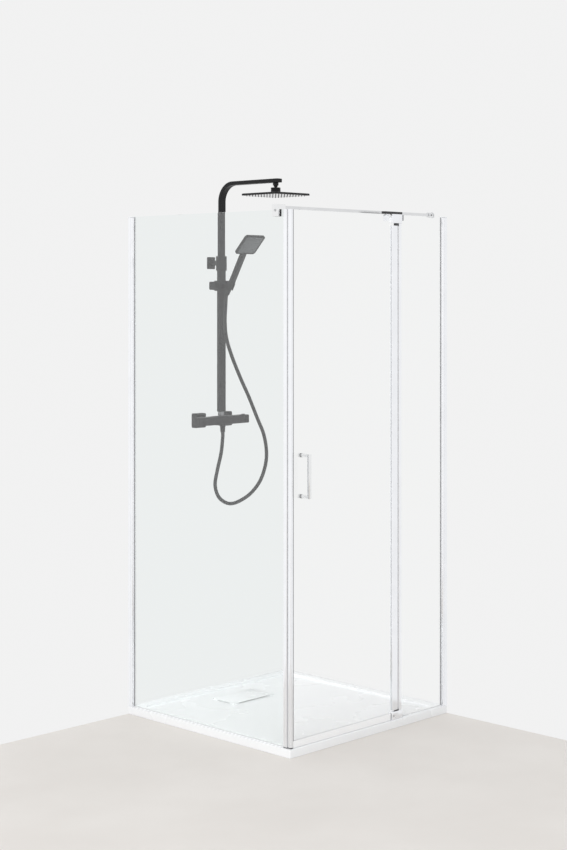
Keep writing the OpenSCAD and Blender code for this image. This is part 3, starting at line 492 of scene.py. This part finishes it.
# Corner profiles and their magnets
# One chromed profile is pressed on each pane at the free corner. Grey and clear vinyl lips
# show beside them, and a magnet strip in each draws the door shut.
GLASS_FRONT, GLASS_BACK, LIP_BACK = -0.438, -0.432, -0.43805
PAST = 0.01  # how far a cutting shape reaches past its piece
grey_vinyl = surface(
    "grey_vinyl", [(0.30, 0.30, 0.31), (0.36, 0.36, 0.37)], 30, (0.4, 0.5), 600, 0.00003
)
clear_vinyl = surface(
    "clear_vinyl", [(0.84, 0.845, 0.85), (0.87, 0.875, 0.88)], 12, (0.2, 0.3), 300, 0.00002
)
low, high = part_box("door_edge_profile")
door_edge = block("door_corner_profile", low, high)
round_edges(door_edge, lambda a, b: upright(a, b) and a.y < low.y + NEAR, 0.0022, 4)
round_edges(door_edge, lambda a, b: upright(a, b) and a.y > high.y - NEAR, 0.0006, 2)
cut_away(
    door_edge,
    block("glass_slot", (low.x + 0.006, SLOT_FRONT, CUT_FOOT), (high.x + PAST, SLOT_BACK, CUT_TOP)),
    block(
        "magnet_bed", (low.x + 0.001, high.y - 0.002, CUT_FOOT),
        (low.x + 0.007, high.y + PAST, CUT_TOP),
    ),
)
fit(door_edge, chrome, "door", "profile_chrome", "door_edge_profile")
door_lip = block(
    "door_corner_lip", (high.x, -0.4402, low.z), (high.x + 0.0042, LIP_BACK, high.z - 0.001)
)
round_edges(
    door_lip, lambda a, b: upright(a, b) and a.x > high.x + NEAR and a.y < -0.44, 0.0015, 3
)
fit(door_lip, grey_vinyl, "door", "seal_clear")
low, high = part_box("side_edge_profile")
side_edge = block("side_corner_profile", low, high)
round_edges(side_edge, lambda a, b: upright(a, b) and a.x < low.x + NEAR, 0.0022, 4)
round_edges(side_edge, lambda a, b: upright(a, b) and a.x > high.x - NEAR, 0.0012, 2)
cut_away(
    side_edge,
    block("glass_slot", (SLOT_FRONT, low.y + 0.006, CUT_FOOT), (SLOT_BACK, high.y + PAST, CUT_TOP)),
    block(
        "magnet_bed", (GLASS_FRONT, low.y - PAST, CUT_FOOT), (GLASS_BACK, low.y + 0.002, CUT_TOP)
    ),
)
fit(side_edge, chrome, "enclosure", "profile_chrome", "side_edge_profile")
side_lip = block(
    "side_corner_lip", (-0.4398, high.y, low.z), (LIP_BACK, high.y + 0.0018, high.z - 0.001)
)
round_edges(
    side_lip, lambda a, b: upright(a, b) and a.y > high.y + NEAR and a.x < -0.439, 0.0012, 3
)
fit(side_lip, clear_vinyl, "enclosure", "seal_clear")
stop_lip = block(
    "side_stop_lip", (-0.4398, low.y - 0.0018, low.z), (-0.4378, low.y + 0.0002, high.z - 0.001)
)
ease(stop_lip, 0.0003)
stop_vinyl = surface(
    "stop_vinyl", [(0.60, 0.60, 0.61), (0.66, 0.66, 0.67)], 30, (0.4, 0.5), 600, 0.00003
)
fit(stop_lip, stop_vinyl, "enclosure", "seal_clear")
dress(grey_vinyl, "side_magnet_strip", "door_magnet_strip")

# Hinge rail, post and pivots
# The door's chromed rail turns on two steel pins in black bushes, held by a cast block under
# and over it. The post between the blocks carries the narrow pane and a grey seal.
dress(chrome, "door_hinge_rail", "hinge_post")
seal_vinyl = surface(
    "seal_vinyl", [(0.70, 0.70, 0.71), (0.76, 0.76, 0.77)], 30, (0.4, 0.5), 600, 0.00003
)
dress(seal_vinyl, "hinge_post_seal")
turned_steel = surface(
    "turned_steel", [(0.50, 0.51, 0.52), (0.60, 0.61, 0.61)], 90, (0.18, 0.28), 900, 0.00002,
    metal=1.0,
)
dress(turned_steel, "pivot_pins", "fixing_screws", "inlet_unions")
black_nylon = surface(
    "black_nylon", [(0.016, 0.016, 0.017), (0.022, 0.022, 0.023)], 40, (0.42, 0.55), 800, 0.00005
)
dress(black_nylon, "side_profile_foot", "door_profile_foot")
bush_nylon = surface(
    "bush_nylon", [(0.042, 0.042, 0.044), (0.052, 0.052, 0.054)], 40, (0.42, 0.55), 800, 0.00005
)
dress(bush_nylon, "pivot_bushes")
low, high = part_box("pivot_pins")
pin_x = (low.x + high.x) / 2
PIN_BORE_R = 0.00402
low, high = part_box("bottom_pivot_block")
foot_block = block("lower_pivot_casting", low, high)
round_edges(foot_block, upright, 0.003, 4)
ease(foot_block, 0.0008)
seam = block(
    "cover_seam", (low.x - PAST, low.y - PAST, 0.0362), (high.x + PAST, low.y + 0.0005, 0.0368)
)
screw_x, screw_z = low.x + 0.009, 0.046
cut_away(
    foot_block, seam,
    rod("screw_dish", (screw_x, low.y - PAST, screw_z), (screw_x, low.y + 0.0006, screw_z), 0.0042),
    rod("pin_bore", (pin_x, GLASS_MIDDLE, 0.046), (pin_x, GLASS_MIDDLE, 0.08), PIN_BORE_R),
)
fit(foot_block, chrome, "enclosure", "fitting_chrome", "bottom_pivot_block")
low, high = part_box("top_pivot_block")
head_block = block("upper_pivot_casting", low, high)
round_edges(head_block, upright, 0.003, 4)
ease(head_block, 0.0008)
seam = block(
    "cover_seam", (low.x - PAST, low.y - PAST, 1.9752), (high.x + PAST, low.y + 0.0005, 1.9758)
)
cut_away(
    head_block, seam,
    rod("pin_bore", (pin_x, GLASS_MIDDLE, 1.93), (pin_x, GLASS_MIDDLE, low.z + 0.016), PIN_BORE_R),
)
fit(head_block, chrome, "enclosure", "fitting_chrome", "top_pivot_block")

# A grey vinyl pad on the narrow pane at the upper block's end; its dark grey paints the shadow in
# the gap between block and glass.
shade_pad = block(
    "painted_shadow_pad", (high.x + 0.0001, -0.4430, 1.957), (high.x + 0.0100, LIP_BACK, 1.9795)
)
ease(shade_pad, 0.0004)
fit(shade_pad, grey_vinyl, "enclosure", "seal_clear")

# Stop strip
# A black nylon strip with a round nose lies on the upper block, reaches over the door's top
# edge and stops it.
low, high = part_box("top_stop_strip")
strip = block("door_stop_strip", low, high)
round_edges(strip, lambda a, b: upright(a, b) and a.x < low.x + NEAR, 0.0105, 10)
ease(strip, 0.0012)
fit(strip, black_nylon, "enclosure", "black_plastic", "top_stop_strip")

# Stabiliser bar
# A square chromed bar runs from a clamp on the side glass to a round socket on the wall, and
# rests on a saddle of the upper pivot block.
BAR_Y, BAR_Z, BAR_HALF = -0.373, 1.989, 0.006
satin_chrome = surface(
    "satin_chrome", [(0.67, 0.675, 0.685), (0.71, 0.715, 0.725)], 18, (0.16, 0.24), 600, 0.00002,
    metal=1.0,
)
cast_chrome = surface(
    "cast_chrome", [(0.79, 0.795, 0.80), (0.83, 0.835, 0.84)], 18, (0.14, 0.2), 600, 0.00002,
    metal=1.0,
)
dress(satin_chrome, "support_bar")
low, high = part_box("bar_saddle")
saddle = block("saddle_arm", low, high)
round_edges(saddle, along(1), 0.003, 3)
ease(saddle, 0.0008)
fit(saddle, chrome, "enclosure", "fitting_chrome", "bar_saddle")
low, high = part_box("corner_glass_clamp")
clamp = block("bar_clamp", low, high)
round_edges(clamp, along(0), 0.004, 4)
ease(clamp, 0.001)
cut_away(
    clamp,
    block("glass_slot", (-0.444, low.y - PAST, low.z - PAST), (-0.431, high.y + PAST, 1.981)),
    block(
        "bar_seat", (-0.420, BAR_Y - BAR_HALF, BAR_Z - BAR_HALF),
        (-0.40, BAR_Y + BAR_HALF, BAR_Z + BAR_HALF),
    ),
    rod("screw_dish", (low.x - PAST, BAR_Y, 1.9775), (low.x + 0.0008, BAR_Y, 1.9775), 0.0056),
)
fit(clamp, cast_chrome, "enclosure", "fitting_chrome", "corner_glass_clamp")
low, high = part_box("bar_wall_socket")
sleeve = rod("bar_socket", (low.x, BAR_Y, BAR_Z), (high.x, BAR_Y, BAR_Z), 0.010)
ease(sleeve, 0.0008)
collar = rod("socket_collar", (high.x - 0.004, BAR_Y, BAR_Z), (high.x, BAR_Y, BAR_Z), 0.012)
ease(collar, 0.001)
weld(sleeve, collar)
bar_seat = block(
    "bar_seat", (low.x - PAST, BAR_Y - BAR_HALF, BAR_Z - BAR_HALF),
    (0.447, BAR_Y + BAR_HALF, BAR_Z + BAR_HALF),
)
cut_away(sleeve, bar_seat)
fit(sleeve, satin_chrome, "enclosure", "fitting_chrome", "bar_wall_socket")
grub_x = low.x + 0.013
grub_screw = rod("socket_grub_screw", (grub_x, -0.3845, BAR_Z), (grub_x, -0.3812, BAR_Z), 0.0028)
ease(grub_screw, 0.0004)
fit(grub_screw, black_nylon, "enclosure", "black_plastic")

# Seals and gaskets
# Soft strips hold the glass, grey in the wall profiles and black in the clamp, a clear bead seals
# each fixed pane's foot, and a clear vinyl strip with a bead and a fin hangs under the door.
black_rubber = surface(
    "black_rubber", [(0.020, 0.020, 0.021), (0.028, 0.028, 0.029)], 40, (0.55, 0.7), 900, 0.00005
)
dress(black_rubber, "clamp_gasket")
dress(grey_vinyl, "glazing_gaskets")
dress(clear_vinyl, "pane_bottom_seals")
low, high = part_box("door_bottom_seal")
drip_seal = block(
    "door_drip_seal", (low.x, low.y + 0.0002, 0.0335), (high.x, high.y - 0.0002, high.z)
)
round_edges(drip_seal, along(0), 0.0012, 3)
cut_away(
    drip_seal,
    block("glass_slot", (low.x - PAST, GLASS_FRONT, 0.036), (high.x + PAST, GLASS_BACK, 0.07)),
    block(
        "upper_line", (low.x - PAST, low.y - PAST, 0.0500), (high.x + PAST, low.y + 0.0007, 0.0508)
    ),
)
bead = rod(
    "foot_bead", (low.x, GLASS_MIDDLE, 0.0338), (high.x, GLASS_MIDDLE, 0.0338), 0.0026, sides=16
)
weld(drip_seal, bead)
fin = block("drip_fin", (low.x, low.y + 0.0006, 0.0314), (high.x, low.y + 0.0018, 0.0345))
weld(drip_seal, fin)
drip_vinyl = surface(
    "drip_vinyl", [(0.94, 0.942, 0.945), (0.965, 0.967, 0.97)], 12, (0.12, 0.2), 300, 0.00002
)
fit(drip_seal, drip_vinyl, "door", "seal_clear", "door_bottom_seal")

# Door handle
# A slim square-backed grip of polished, chromed brass on two round posts, screwed through
# the glass. Each post stands on a thin grey washer.
GRIP = 0.013
low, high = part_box("door_handle")
centre_x, grip_y = (low.x + high.x) / 2, low.y + GRIP / 2
grip = block("door_grip", (low.x, low.y, low.z), (high.x, low.y + GRIP, high.z))
round_edges(grip, upright, 0.0036, 5)
round_edges(grip, lambda a, b: abs(a.z - b.z) < 1e-6, 0.0012, 2)
for height in (low.z + GRIP / 2, high.z - GRIP / 2):
    post = rod("grip_post", (centre_x, grip_y + 0.002, height), (centre_x, high.y, height), 0.0064)
    foot = rod("post_foot", (centre_x, high.y - 0.0025, height), (centre_x, high.y, height), 0.0072)
    ease(foot, 0.0006)
    weld(post, foot)
    weld(grip, post)
handle_chrome = surface(
    "handle_chrome", [(0.77, 0.778, 0.782), (0.81, 0.818, 0.822)], 18, (0.14, 0.22), 600, 0.00002,
    metal=1.0,
)
fit(grip, handle_chrome, "door", "fitting_chrome", "door_handle")
dress(satin_chrome, "handle_bolts")
washer_vinyl = surface(
    "washer_vinyl", [(0.38, 0.38, 0.39), (0.44, 0.44, 0.45)], 30, (0.4, 0.5), 600, 0.00002
)
dress(washer_vinyl, "handle_washers")

# Mixer
# A squared brass body, coated matt black, hangs on two nuts over square cover plates. A knob
# with two grip lines turns at each end, and the right one has a push button on top.
black_coat = surface(
    "black_coat", [(0.0065, 0.0065, 0.0075), (0.009, 0.009, 0.010)], 40, (0.36, 0.46), 1400,
    0.00003, shine=0.22,
)
KNOB_LENGTH, INLET_X, PLATE_HALF = 0.0536, 0.075, 0.03
low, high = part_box("mixer_body")
axis_z = (low.z + high.z) / 2
mixer = block(
    "mixer_casting", (low.x, low.y + 0.001, low.z + 0.001), (high.x, high.y, high.z - 0.001)
)
round_edges(mixer, along(0), 0.0035, 4)
ease(mixer, 0.0007)
middle = block("mixer_middle", (-0.0445, low.y, low.z), (0.0445, high.y - 0.0005, high.z))
round_edges(middle, along(0), 0.004, 4)
ease(middle, 0.0007)
weld(mixer, middle)
fit(mixer, black_coat, "enclosure", "column_black", "mixer_body")
for side, node, body, name in (
    (-1, "flow_knob", "flow_control", "flow_grip"),
    (1, "temperature_knob", "temperature_control", "temperature_grip"),
):
    low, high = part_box(node)
    far = low.x if side == -1 else high.x
    near = far - side * KNOB_LENGTH
    knob = None
    for start, end, sunk in (
        (near, near + side * 0.030, 0), (near + side * 0.029, near + side * 0.032, 0.0008),
        (near + side * 0.031, near + side * 0.036, 0),
        (near + side * 0.035, near + side * 0.038, 0.0008), (near + side * 0.037, far, 0),
    ):
        part = block(
            name, (min(start, end), low.y + sunk, low.z + sunk),
            (max(start, end), high.y - sunk, high.z - sunk),
        )
        round_edges(part, along(0), 0.004, 4)
        ease(part, 0.0006 if abs(end) < 0.14 else 0.0018)
        if knob is None:
            knob = part
        else:
            weld(knob, part)
    if side == 1:
        seat_low, seat_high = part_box("safety_button")
        gap = Vector((0.0003, 0.0003, 0.003))
        cut_away(knob, block("button_seat", seat_low - gap, seat_high + gap))
    fit(knob, black_coat, body, "column_black", node)
low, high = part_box("safety_button")
button = block("push_button", low, high)
round_edges(button, upright, 0.0024, 4)
ease(button, 0.0009)
fit(button, black_nylon, "button", "black_plastic", "safety_button")
nut_low, nut_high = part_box("inlet_nuts")
plate_low, plate_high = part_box("wall_rosettes")
for side in (-1, 1):
    x = side * INLET_X
    nut = rod("inlet_nut", (x, nut_low.y, axis_z), (x, nut_low.y + 0.014, axis_z), 0.013, sides=6)
    ease(nut, 0.0008)
    tail = rod("nut_tail", (x, nut_low.y + 0.013, axis_z), (x, nut_high.y, axis_z), 0.0115)
    weld(nut, tail)
    plate = block(
        "cover_plate", (x - PLATE_HALF, plate_low.y, plate_low.z),
        (x + PLATE_HALF, plate_high.y, plate_high.z),
    )
    round_edges(plate, along(1), 0.006, 5)
    front = plate_low.y + 0.001
    round_edges(plate, lambda a, b: a.y < front and b.y < front, 0.004, 4)
    if side == -1:
        left_nut, left_plate = nut, plate
    else:
        for pair in ((nut, left_nut), (plate, left_plate)):
            bpy.ops.object.select_all(action="DESELECT")
            for piece in pair:
                piece.select_set(True)
            bpy.context.view_layer.objects.active = pair[0]
            bpy.ops.object.join()
        fit(nut, black_coat, "enclosure", "column_black", "inlet_nuts")
        fit(plate, black_coat, "enclosure", "column_black", "wall_rosettes")
low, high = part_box("hose_nut_outlet")
outlet_y = (low.y + high.y) / 2
outlet = rod(
    "outlet_nut", (0, outlet_y, low.z + 0.0005), (0, outlet_y, low.z + 0.024), 0.0095, 0.0110
)
for height in (low.z + 0.006, low.z + 0.011, low.z + 0.016):
    for x0, x1 in ((-0.02, -0.0098), (0.0098, 0.02)):
        cut_away(outlet, block("grip_line", (x0, 0.35, height), (x1, 0.39, height + 0.0012)))
outlet_head = rod("outlet_head", (0, outlet_y, low.z + 0.023), (0, outlet_y, high.z), 0.0114)
ease(outlet_head, 0.0007)
weld(outlet, outlet_head)
fit(outlet, black_coat, "enclosure", "column_black", "hose_nut_outlet")

# Riser and arm
# A flat brass tube stands on the mixer in a satin grey nut. The arm slides in it through a
# collar, which a bracket holds off the wall, and bends over to the rain head.
satin_metal = surface(
    "satin_metal", [(0.22, 0.22, 0.23), (0.28, 0.28, 0.29)], 60, (0.3, 0.4), 900, 0.00003, metal=0.7
)
low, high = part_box("riser_nut")
riser_y = (low.y + high.y) / 2
riser_nut = rod("riser_base_nut", (0, riser_y, low.z), (0, riser_y, high.z), 0.0103)
ease(riser_nut, 0.0008)
facets = rod(
    "nut_flats", (0, riser_y, low.z + 0.003), (0, riser_y, high.z - 0.004), 0.0110, sides=8
)
ease(facets, 0.0006)
weld(riser_nut, facets)
fit(riser_nut, satin_metal, "enclosure", "column_grey", "riser_nut")
dress(black_coat, "lower_riser", "shower_arm", "head_neck_ball")
low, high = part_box("wall_bracket")
bracket = block("bracket_plate", (low.x, high.y - 0.010, low.z), high)
round_edges(bracket, along(1), 0.003, 4)
ease(bracket, 0.001)
middle_z = (low.z + high.z) / 2
arm_rod = block(
    "bracket_rod", (-0.008, low.y, middle_z - 0.010), (0.008, high.y - 0.008, middle_z + 0.010)
)
round_edges(arm_rod, along(1), 0.003, 4)
weld(bracket, arm_rod)
fit(bracket, black_coat, "enclosure", "column_black", "wall_bracket")
low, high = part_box("height_collar")
collar = block("riser_collar", low, high)
round_edges(collar, upright, 0.003, 4)
ease(collar, 0.0012)
tube_low, tube_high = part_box("lower_riser")
tube_bore = block(
    "tube_bore", (tube_low.x, tube_low.y, low.z - PAST), (tube_high.x, tube_high.y, tube_high.z)
)
round_edges(tube_bore, upright, 0.003, 4)
arm_bore = block(
    "arm_bore", (tube_low.x + 0.0016, tube_low.y + 0.0016, 1.80),
    (tube_high.x - 0.0016, tube_high.y - 0.0016, high.z + PAST),
)
round_edges(arm_bore, upright, 0.002, 3)
cut_away(
    collar, tube_bore, arm_bore,
    rod("grub_screw_hole", (0, low.y - PAST, 1.80), (0, low.y + 0.0012, 1.80), 0.0032),
)
fit(collar, black_coat, "enclosure", "column_black", "height_collar")

# Rain head
# A thin square plate, coated black, hangs on a ball joint under a turned nut. Its glossy
# underside carries eleven rows of soft grey nozzles.


def turned(name, outline):
    """A piece turned about the vertical axis from its closed half outline."""
    data = bpy.data.meshes.new(name)
    data.from_pydata(
        [(x, 0, z) for x, z in outline], [(i, (i + 1) % len(outline)) for i in range(len(outline))],
        [],
    )
    piece = bpy.data.objects.new(name, data)
    bpy.context.scene.collection.objects.link(piece)
    bpy.ops.object.select_all(action="DESELECT")
    piece.select_set(True)
    bpy.context.view_layer.objects.active = piece
    bpy.ops.object.mode_set(mode="EDIT")
    bpy.ops.mesh.select_all(action="SELECT")
    bpy.ops.mesh.spin(steps=64, angle=2 * math.pi, center=(0, 0, 0), axis=(0, 0, 1))
    bpy.ops.mesh.select_all(action="SELECT")
    bpy.ops.mesh.remove_doubles(threshold=1e-6)
    bpy.ops.mesh.normals_make_consistent(inside=False)
    bpy.ops.object.mode_set(mode="OBJECT")
    return piece


dress(black_nylon, "ball_seat_ring")
low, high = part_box("head_nut")
centre_y = (low.y + high.y) / 2
centre_z = high.z - 0.007
NUT_R, GROOVE_R, SEAT_R, NEAR_AXIS, SEAT_STEPS = 0.0195, 0.0187, 0.0108, 0.0001, 16
outline = [(NEAR_AXIS, low.z), (GROOVE_R, low.z), (NUT_R, low.z + 0.0008)]
outline += [(NUT_R, high.z - 0.0082), (GROOVE_R, high.z - 0.0076), (GROOVE_R, high.z - 0.0066)]
outline += [(NUT_R, high.z - 0.0060), (NUT_R, high.z - 0.0016), (0.0190, high.z - 0.0005)]
outline += [(0.0179, high.z)]
for step in range(SEAT_STEPS + 1):
    turn = math.radians(40 - 130 * step / SEAT_STEPS)
    outline.append((max(NEAR_AXIS, SEAT_R * math.cos(turn)), centre_z + SEAT_R * math.sin(turn)))
nut = turned("head_joint_nut", outline)
nut.data.transform(Matrix.Translation((0, centre_y, 0)))
fit(nut, black_coat, "head", "column_black", "head_nut")
low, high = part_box("rain_head")
plate = block("rain_plate", low, high)
round_edges(plate, upright, 0.012, 8)
round_edges(plate, lambda a, b: a.z > high.z - 1e-4 and b.z > high.z - 1e-4, 0.0035, 3)
round_edges(plate, lambda a, b: a.z < low.z + 1e-4 and b.z < low.z + 1e-4, 0.001, 2)
RIM = 0.012
recess = block(
    "face_recess", (low.x + RIM, low.y + RIM, low.z - PAST),
    (high.x - RIM, high.y - RIM, low.z + 0.001),
)
round_edges(recess, upright, 0.006, 5)
cut_away(plate, recess)
fit(plate, black_coat, "head", "column_black", "rain_head")
gloss_black = surface(
    "gloss_black", [(0.014, 0.014, 0.015), (0.020, 0.020, 0.021)], 25, (0.03, 0.06), 500, 0.00001,
    shine=1.0,
)
inset = RIM + 0.0002
face = block(
    "rain_face", (low.x + inset, low.y + inset, low.z),
    (high.x - inset, high.y - inset, low.z + 0.0009),
)
round_edges(face, upright, 0.0058, 5)
fit(face, gloss_black, "head", "nozzle_rubber", "rain_nozzles")
nozzle_rubber = surface(
    "nozzle_rubber", [(0.045, 0.045, 0.048), (0.06, 0.06, 0.063)], 40, (0.5, 0.6), 600, 0.00003
)
HEAD_WIDTH, ROWS = 0.2, 11
pitch = (HEAD_WIDTH - 3 * RIM) / (ROWS - 1)
nozzles = []
for row in range(ROWS):
    for place in range(ROWS):
        x, y = (place - ROWS // 2) * pitch, centre_y + (row - ROWS // 2) * pitch
        if not nozzles:
            nozzle = rod(
                "rain_nozzle_rows", (x, y, low.z + 0.0004), (x, y, low.z - 0.0035), 0.0019, 0.0011,
                sides=10,
            )
            first = Vector((x, y, 0))
        else:
            nozzle = nozzles[0].copy()
            nozzle.data = nozzles[0].data.copy()
            nozzle.data.transform(Matrix.Translation(Vector((x, y, 0)) - first))
            bpy.context.scene.collection.objects.link(nozzle)
        nozzles.append(nozzle)
bpy.ops.object.select_all(action="DESELECT")
for nozzle in nozzles:
    nozzle.select_set(True)
bpy.context.view_layer.objects.active = nozzles[0]
bpy.ops.object.join()
fit(nozzles[0], nozzle_rubber, "head", "nozzle_rubber")

# Slider
# A squared clamp slides on the riser and is held by the square knob on its left. Its lug
# carries the hand shower's holder.
LUG_HALF, CHEEK_IN, CHEEK = 0.008, 0.0073, 0.007
low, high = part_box("slider_body")
lug_y = low.y + LUG_HALF
slider_z = (low.z + high.z) / 2
slider = block("slider_clamp", (low.x, lug_y + 0.004, low.z), high)
round_edges(slider, upright, 0.0035, 4)
ease(slider, 0.0014)
lug = block(
    "slider_lug", (-0.007, low.y, slider_z - LUG_HALF),
    (0.007, lug_y + 0.006, slider_z + LUG_HALF),
)
round_edges(lug, lambda a, b: along(0)(a, b) and a.y < low.y + NEAR, LUG_HALF - 0.0001, 10)
weld(slider, lug)
riser_bore = block(
    "riser_bore", (tube_low.x - 0.0003, tube_low.y - 0.0003, 1.67),
    (tube_high.x + 0.0003, tube_high.y + 0.0003, 1.74),
)
round_edges(riser_bore, upright, 0.003, 4)
cut_away(slider, riser_bore)
room_in, room_out = CHEEK_IN - 0.0005, CHEEK_IN + CHEEK + 0.0003
for x0, x1 in ((-room_out, -room_in), (room_in, room_out)):
    cut_away(slider, rod("cheek_room", (x0, lug_y, slider_z), (x1, lug_y, slider_z), 0.0086))
fit(slider, black_coat, "slider", "column_black", "slider_body")
low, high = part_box("slider_knob")
knob = block("slider_grip", (low.x, low.y, low.z), (low.x + 0.021, high.y, high.z))
round_edges(knob, along(0), 0.006, 5)
ease(knob, 0.002, 3)
ring = block(
    "grip_ring", (low.x + 0.0205, low.y + 0.001, low.z + 0.001),
    (low.x + 0.0225, high.y - 0.001, high.z - 0.001),
)
round_edges(ring, along(0), 0.006, 5)
back = block("grip_back", (low.x + 0.022, low.y, low.z), (low.x + 0.0299, high.y, high.z))
round_edges(back, along(0), 0.006, 5)
ease(back, 0.001)
weld(knob, ring, back)
fit(knob, black_coat, "slider_clamp", "column_black", "slider_knob")

# Hand shower holder
# A split sleeve, tilted thirty degrees, hangs on the slider's lug by its two cheeks and
# takes the tapered end of the hand shower.
LEAN = (
    Matrix.Translation(Vector((0, lug_y - 0.031, slider_z)))
    @ Matrix.Rotation(math.radians(30), 4, "X")
)
holder = rod("holder_sleeve", (0, 0, -0.016), (0, 0, 0.014), 0.016)
ease(holder, 0.0014, 3)
holder.data.transform(LEAN)
for x in (-CHEEK_IN - CHEEK, CHEEK_IN):
    cheek = block(
        "holder_cheek", (x, lug_y - 0.025, slider_z - LUG_HALF),
        (x + CHEEK, lug_y + LUG_HALF, slider_z + LUG_HALF),
    )
    round_edges(cheek, lambda a, b: along(0)(a, b) and a.y > lug_y, LUG_HALF - 0.0001, 10)
    weld(holder, cheek)
bore = rod("holder_bore", (0, 0, -0.04), (0, 0, 0.04), 0.0123)
bore.data.transform(LEAN)
slot = block("hose_slot", (-0.0075, -0.032, -0.03), (0.0075, -0.002, 0.03))
slot.data.transform(LEAN)
cut_away(holder, bore, slot)
fit(holder, black_coat, "holder", "column_black", "handset_holder")

# Hand shower
# A flat bar grip with a square face, moulded in black plastic. The grey spray plate sits in
# a raised rim, and a grooved nut joins it to the hose.
black_shell = surface(
    "black_shell", [(0.008, 0.008, 0.009), (0.011, 0.011, 0.012)], 40, (0.3, 0.4), 1200, 0.00002,
    shine=0.3,
)
spray_plate = surface(
    "spray_plate", [(0.082, 0.086, 0.090), (0.102, 0.106, 0.111)], 50, (0.28, 0.36), 700, 0.00002
)
FACE = (
    LEAN @ Matrix.Translation(Vector((0, -0.0153, 0.203)))
    @ Matrix.Rotation(math.radians(104), 4, "X")
)
NUT_END = 0.0144
grip = block("hand_shower", (-0.0135, -0.0095, 0.0158), (0.0135, 0.0095, 0.160))
round_edges(grip, upright, 0.0065, 6)
ease(grip, 0.0006)
shoulder = rod("grip_shoulder", (0, 0, NUT_END), (0, 0, 0.0204), 0.0143)
ease(shoulder, 0.0012, 3)
weld(grip, shoulder)
grip.data.transform(LEAN)
SHELL_X, SHELL_Y, SHELL_Z = 0.055, 0.0495, 0.0055
shell = block("spray_shell", (-SHELL_X, -SHELL_Y, -SHELL_Z), (SHELL_X, SHELL_Y, SHELL_Z))
round_edges(shell, upright, 0.012, 8)
round_edges(shell, lambda a, b: max(a.z, b.z) < 0.0001 - SHELL_Z, 0.0045, 4)
round_edges(shell, lambda a, b: min(a.z, b.z) > SHELL_Z - 0.0001, 0.0014, 3)
pocket = block("plate_pocket", (-0.048, -0.0425, 0.0035), (0.048, 0.0425, 0.02))
round_edges(pocket, upright, 0.008, 6)
cut_away(shell, pocket)
shell.data.transform(FACE)
weld(grip, shell)
fit(grip, black_shell, "handset", "column_black", "handset_body")
plate = block("spray_plate", (-0.0478, -0.0423, 0.0035), (0.0478, 0.0423, 0.0050))
round_edges(plate, upright, 0.0078, 6)
ease(plate, 0.0005)
JET_PITCH_X, JET_PITCH_Y, JET_REACH = 0.0125, 0.011, 3
jets = [plate]
for row in range(-JET_REACH, JET_REACH + 1):
    for place in range(-JET_REACH, JET_REACH + 1):
        x, y = place * JET_PITCH_X, row * JET_PITCH_Y
        jets.append(rod("spray_jet", (x, y, 0.0047), (x, y, 0.0062), 0.0017, 0.0011, sides=10))
bpy.ops.object.select_all(action="DESELECT")
for jet in jets:
    jet.select_set(True)
bpy.context.view_layer.objects.active = plate
bpy.ops.object.join()
plate.data.transform(FACE)
fit(plate, spray_plate, "handset", "spray_grey", "handset_spray_face")
hose_nut = rod("hand_shower_nut", (0, 0, -0.0395), (0, 0, NUT_END), 0.0089, 0.0117)
lip = rod("nut_lip", (0, 0, -0.040), (0, 0, -0.0375), 0.0089)
ease(lip, 0.0006)
weld(hose_nut, lip)
for s in (-0.033, -0.028, -0.023):
    for turn in range(4):
        line = block("grip_line", (-0.004, 0.0088, s), (0.004, 0.02, s + 0.0014))
        line.data.transform(Matrix.Rotation(math.radians(90 * turn), 4, "Z"))
        cut_away(hose_nut, line)
hose_nut.data.transform(LEAN)
fit(hose_nut, black_shell, "handset", "column_black", "hose_nut_handset")
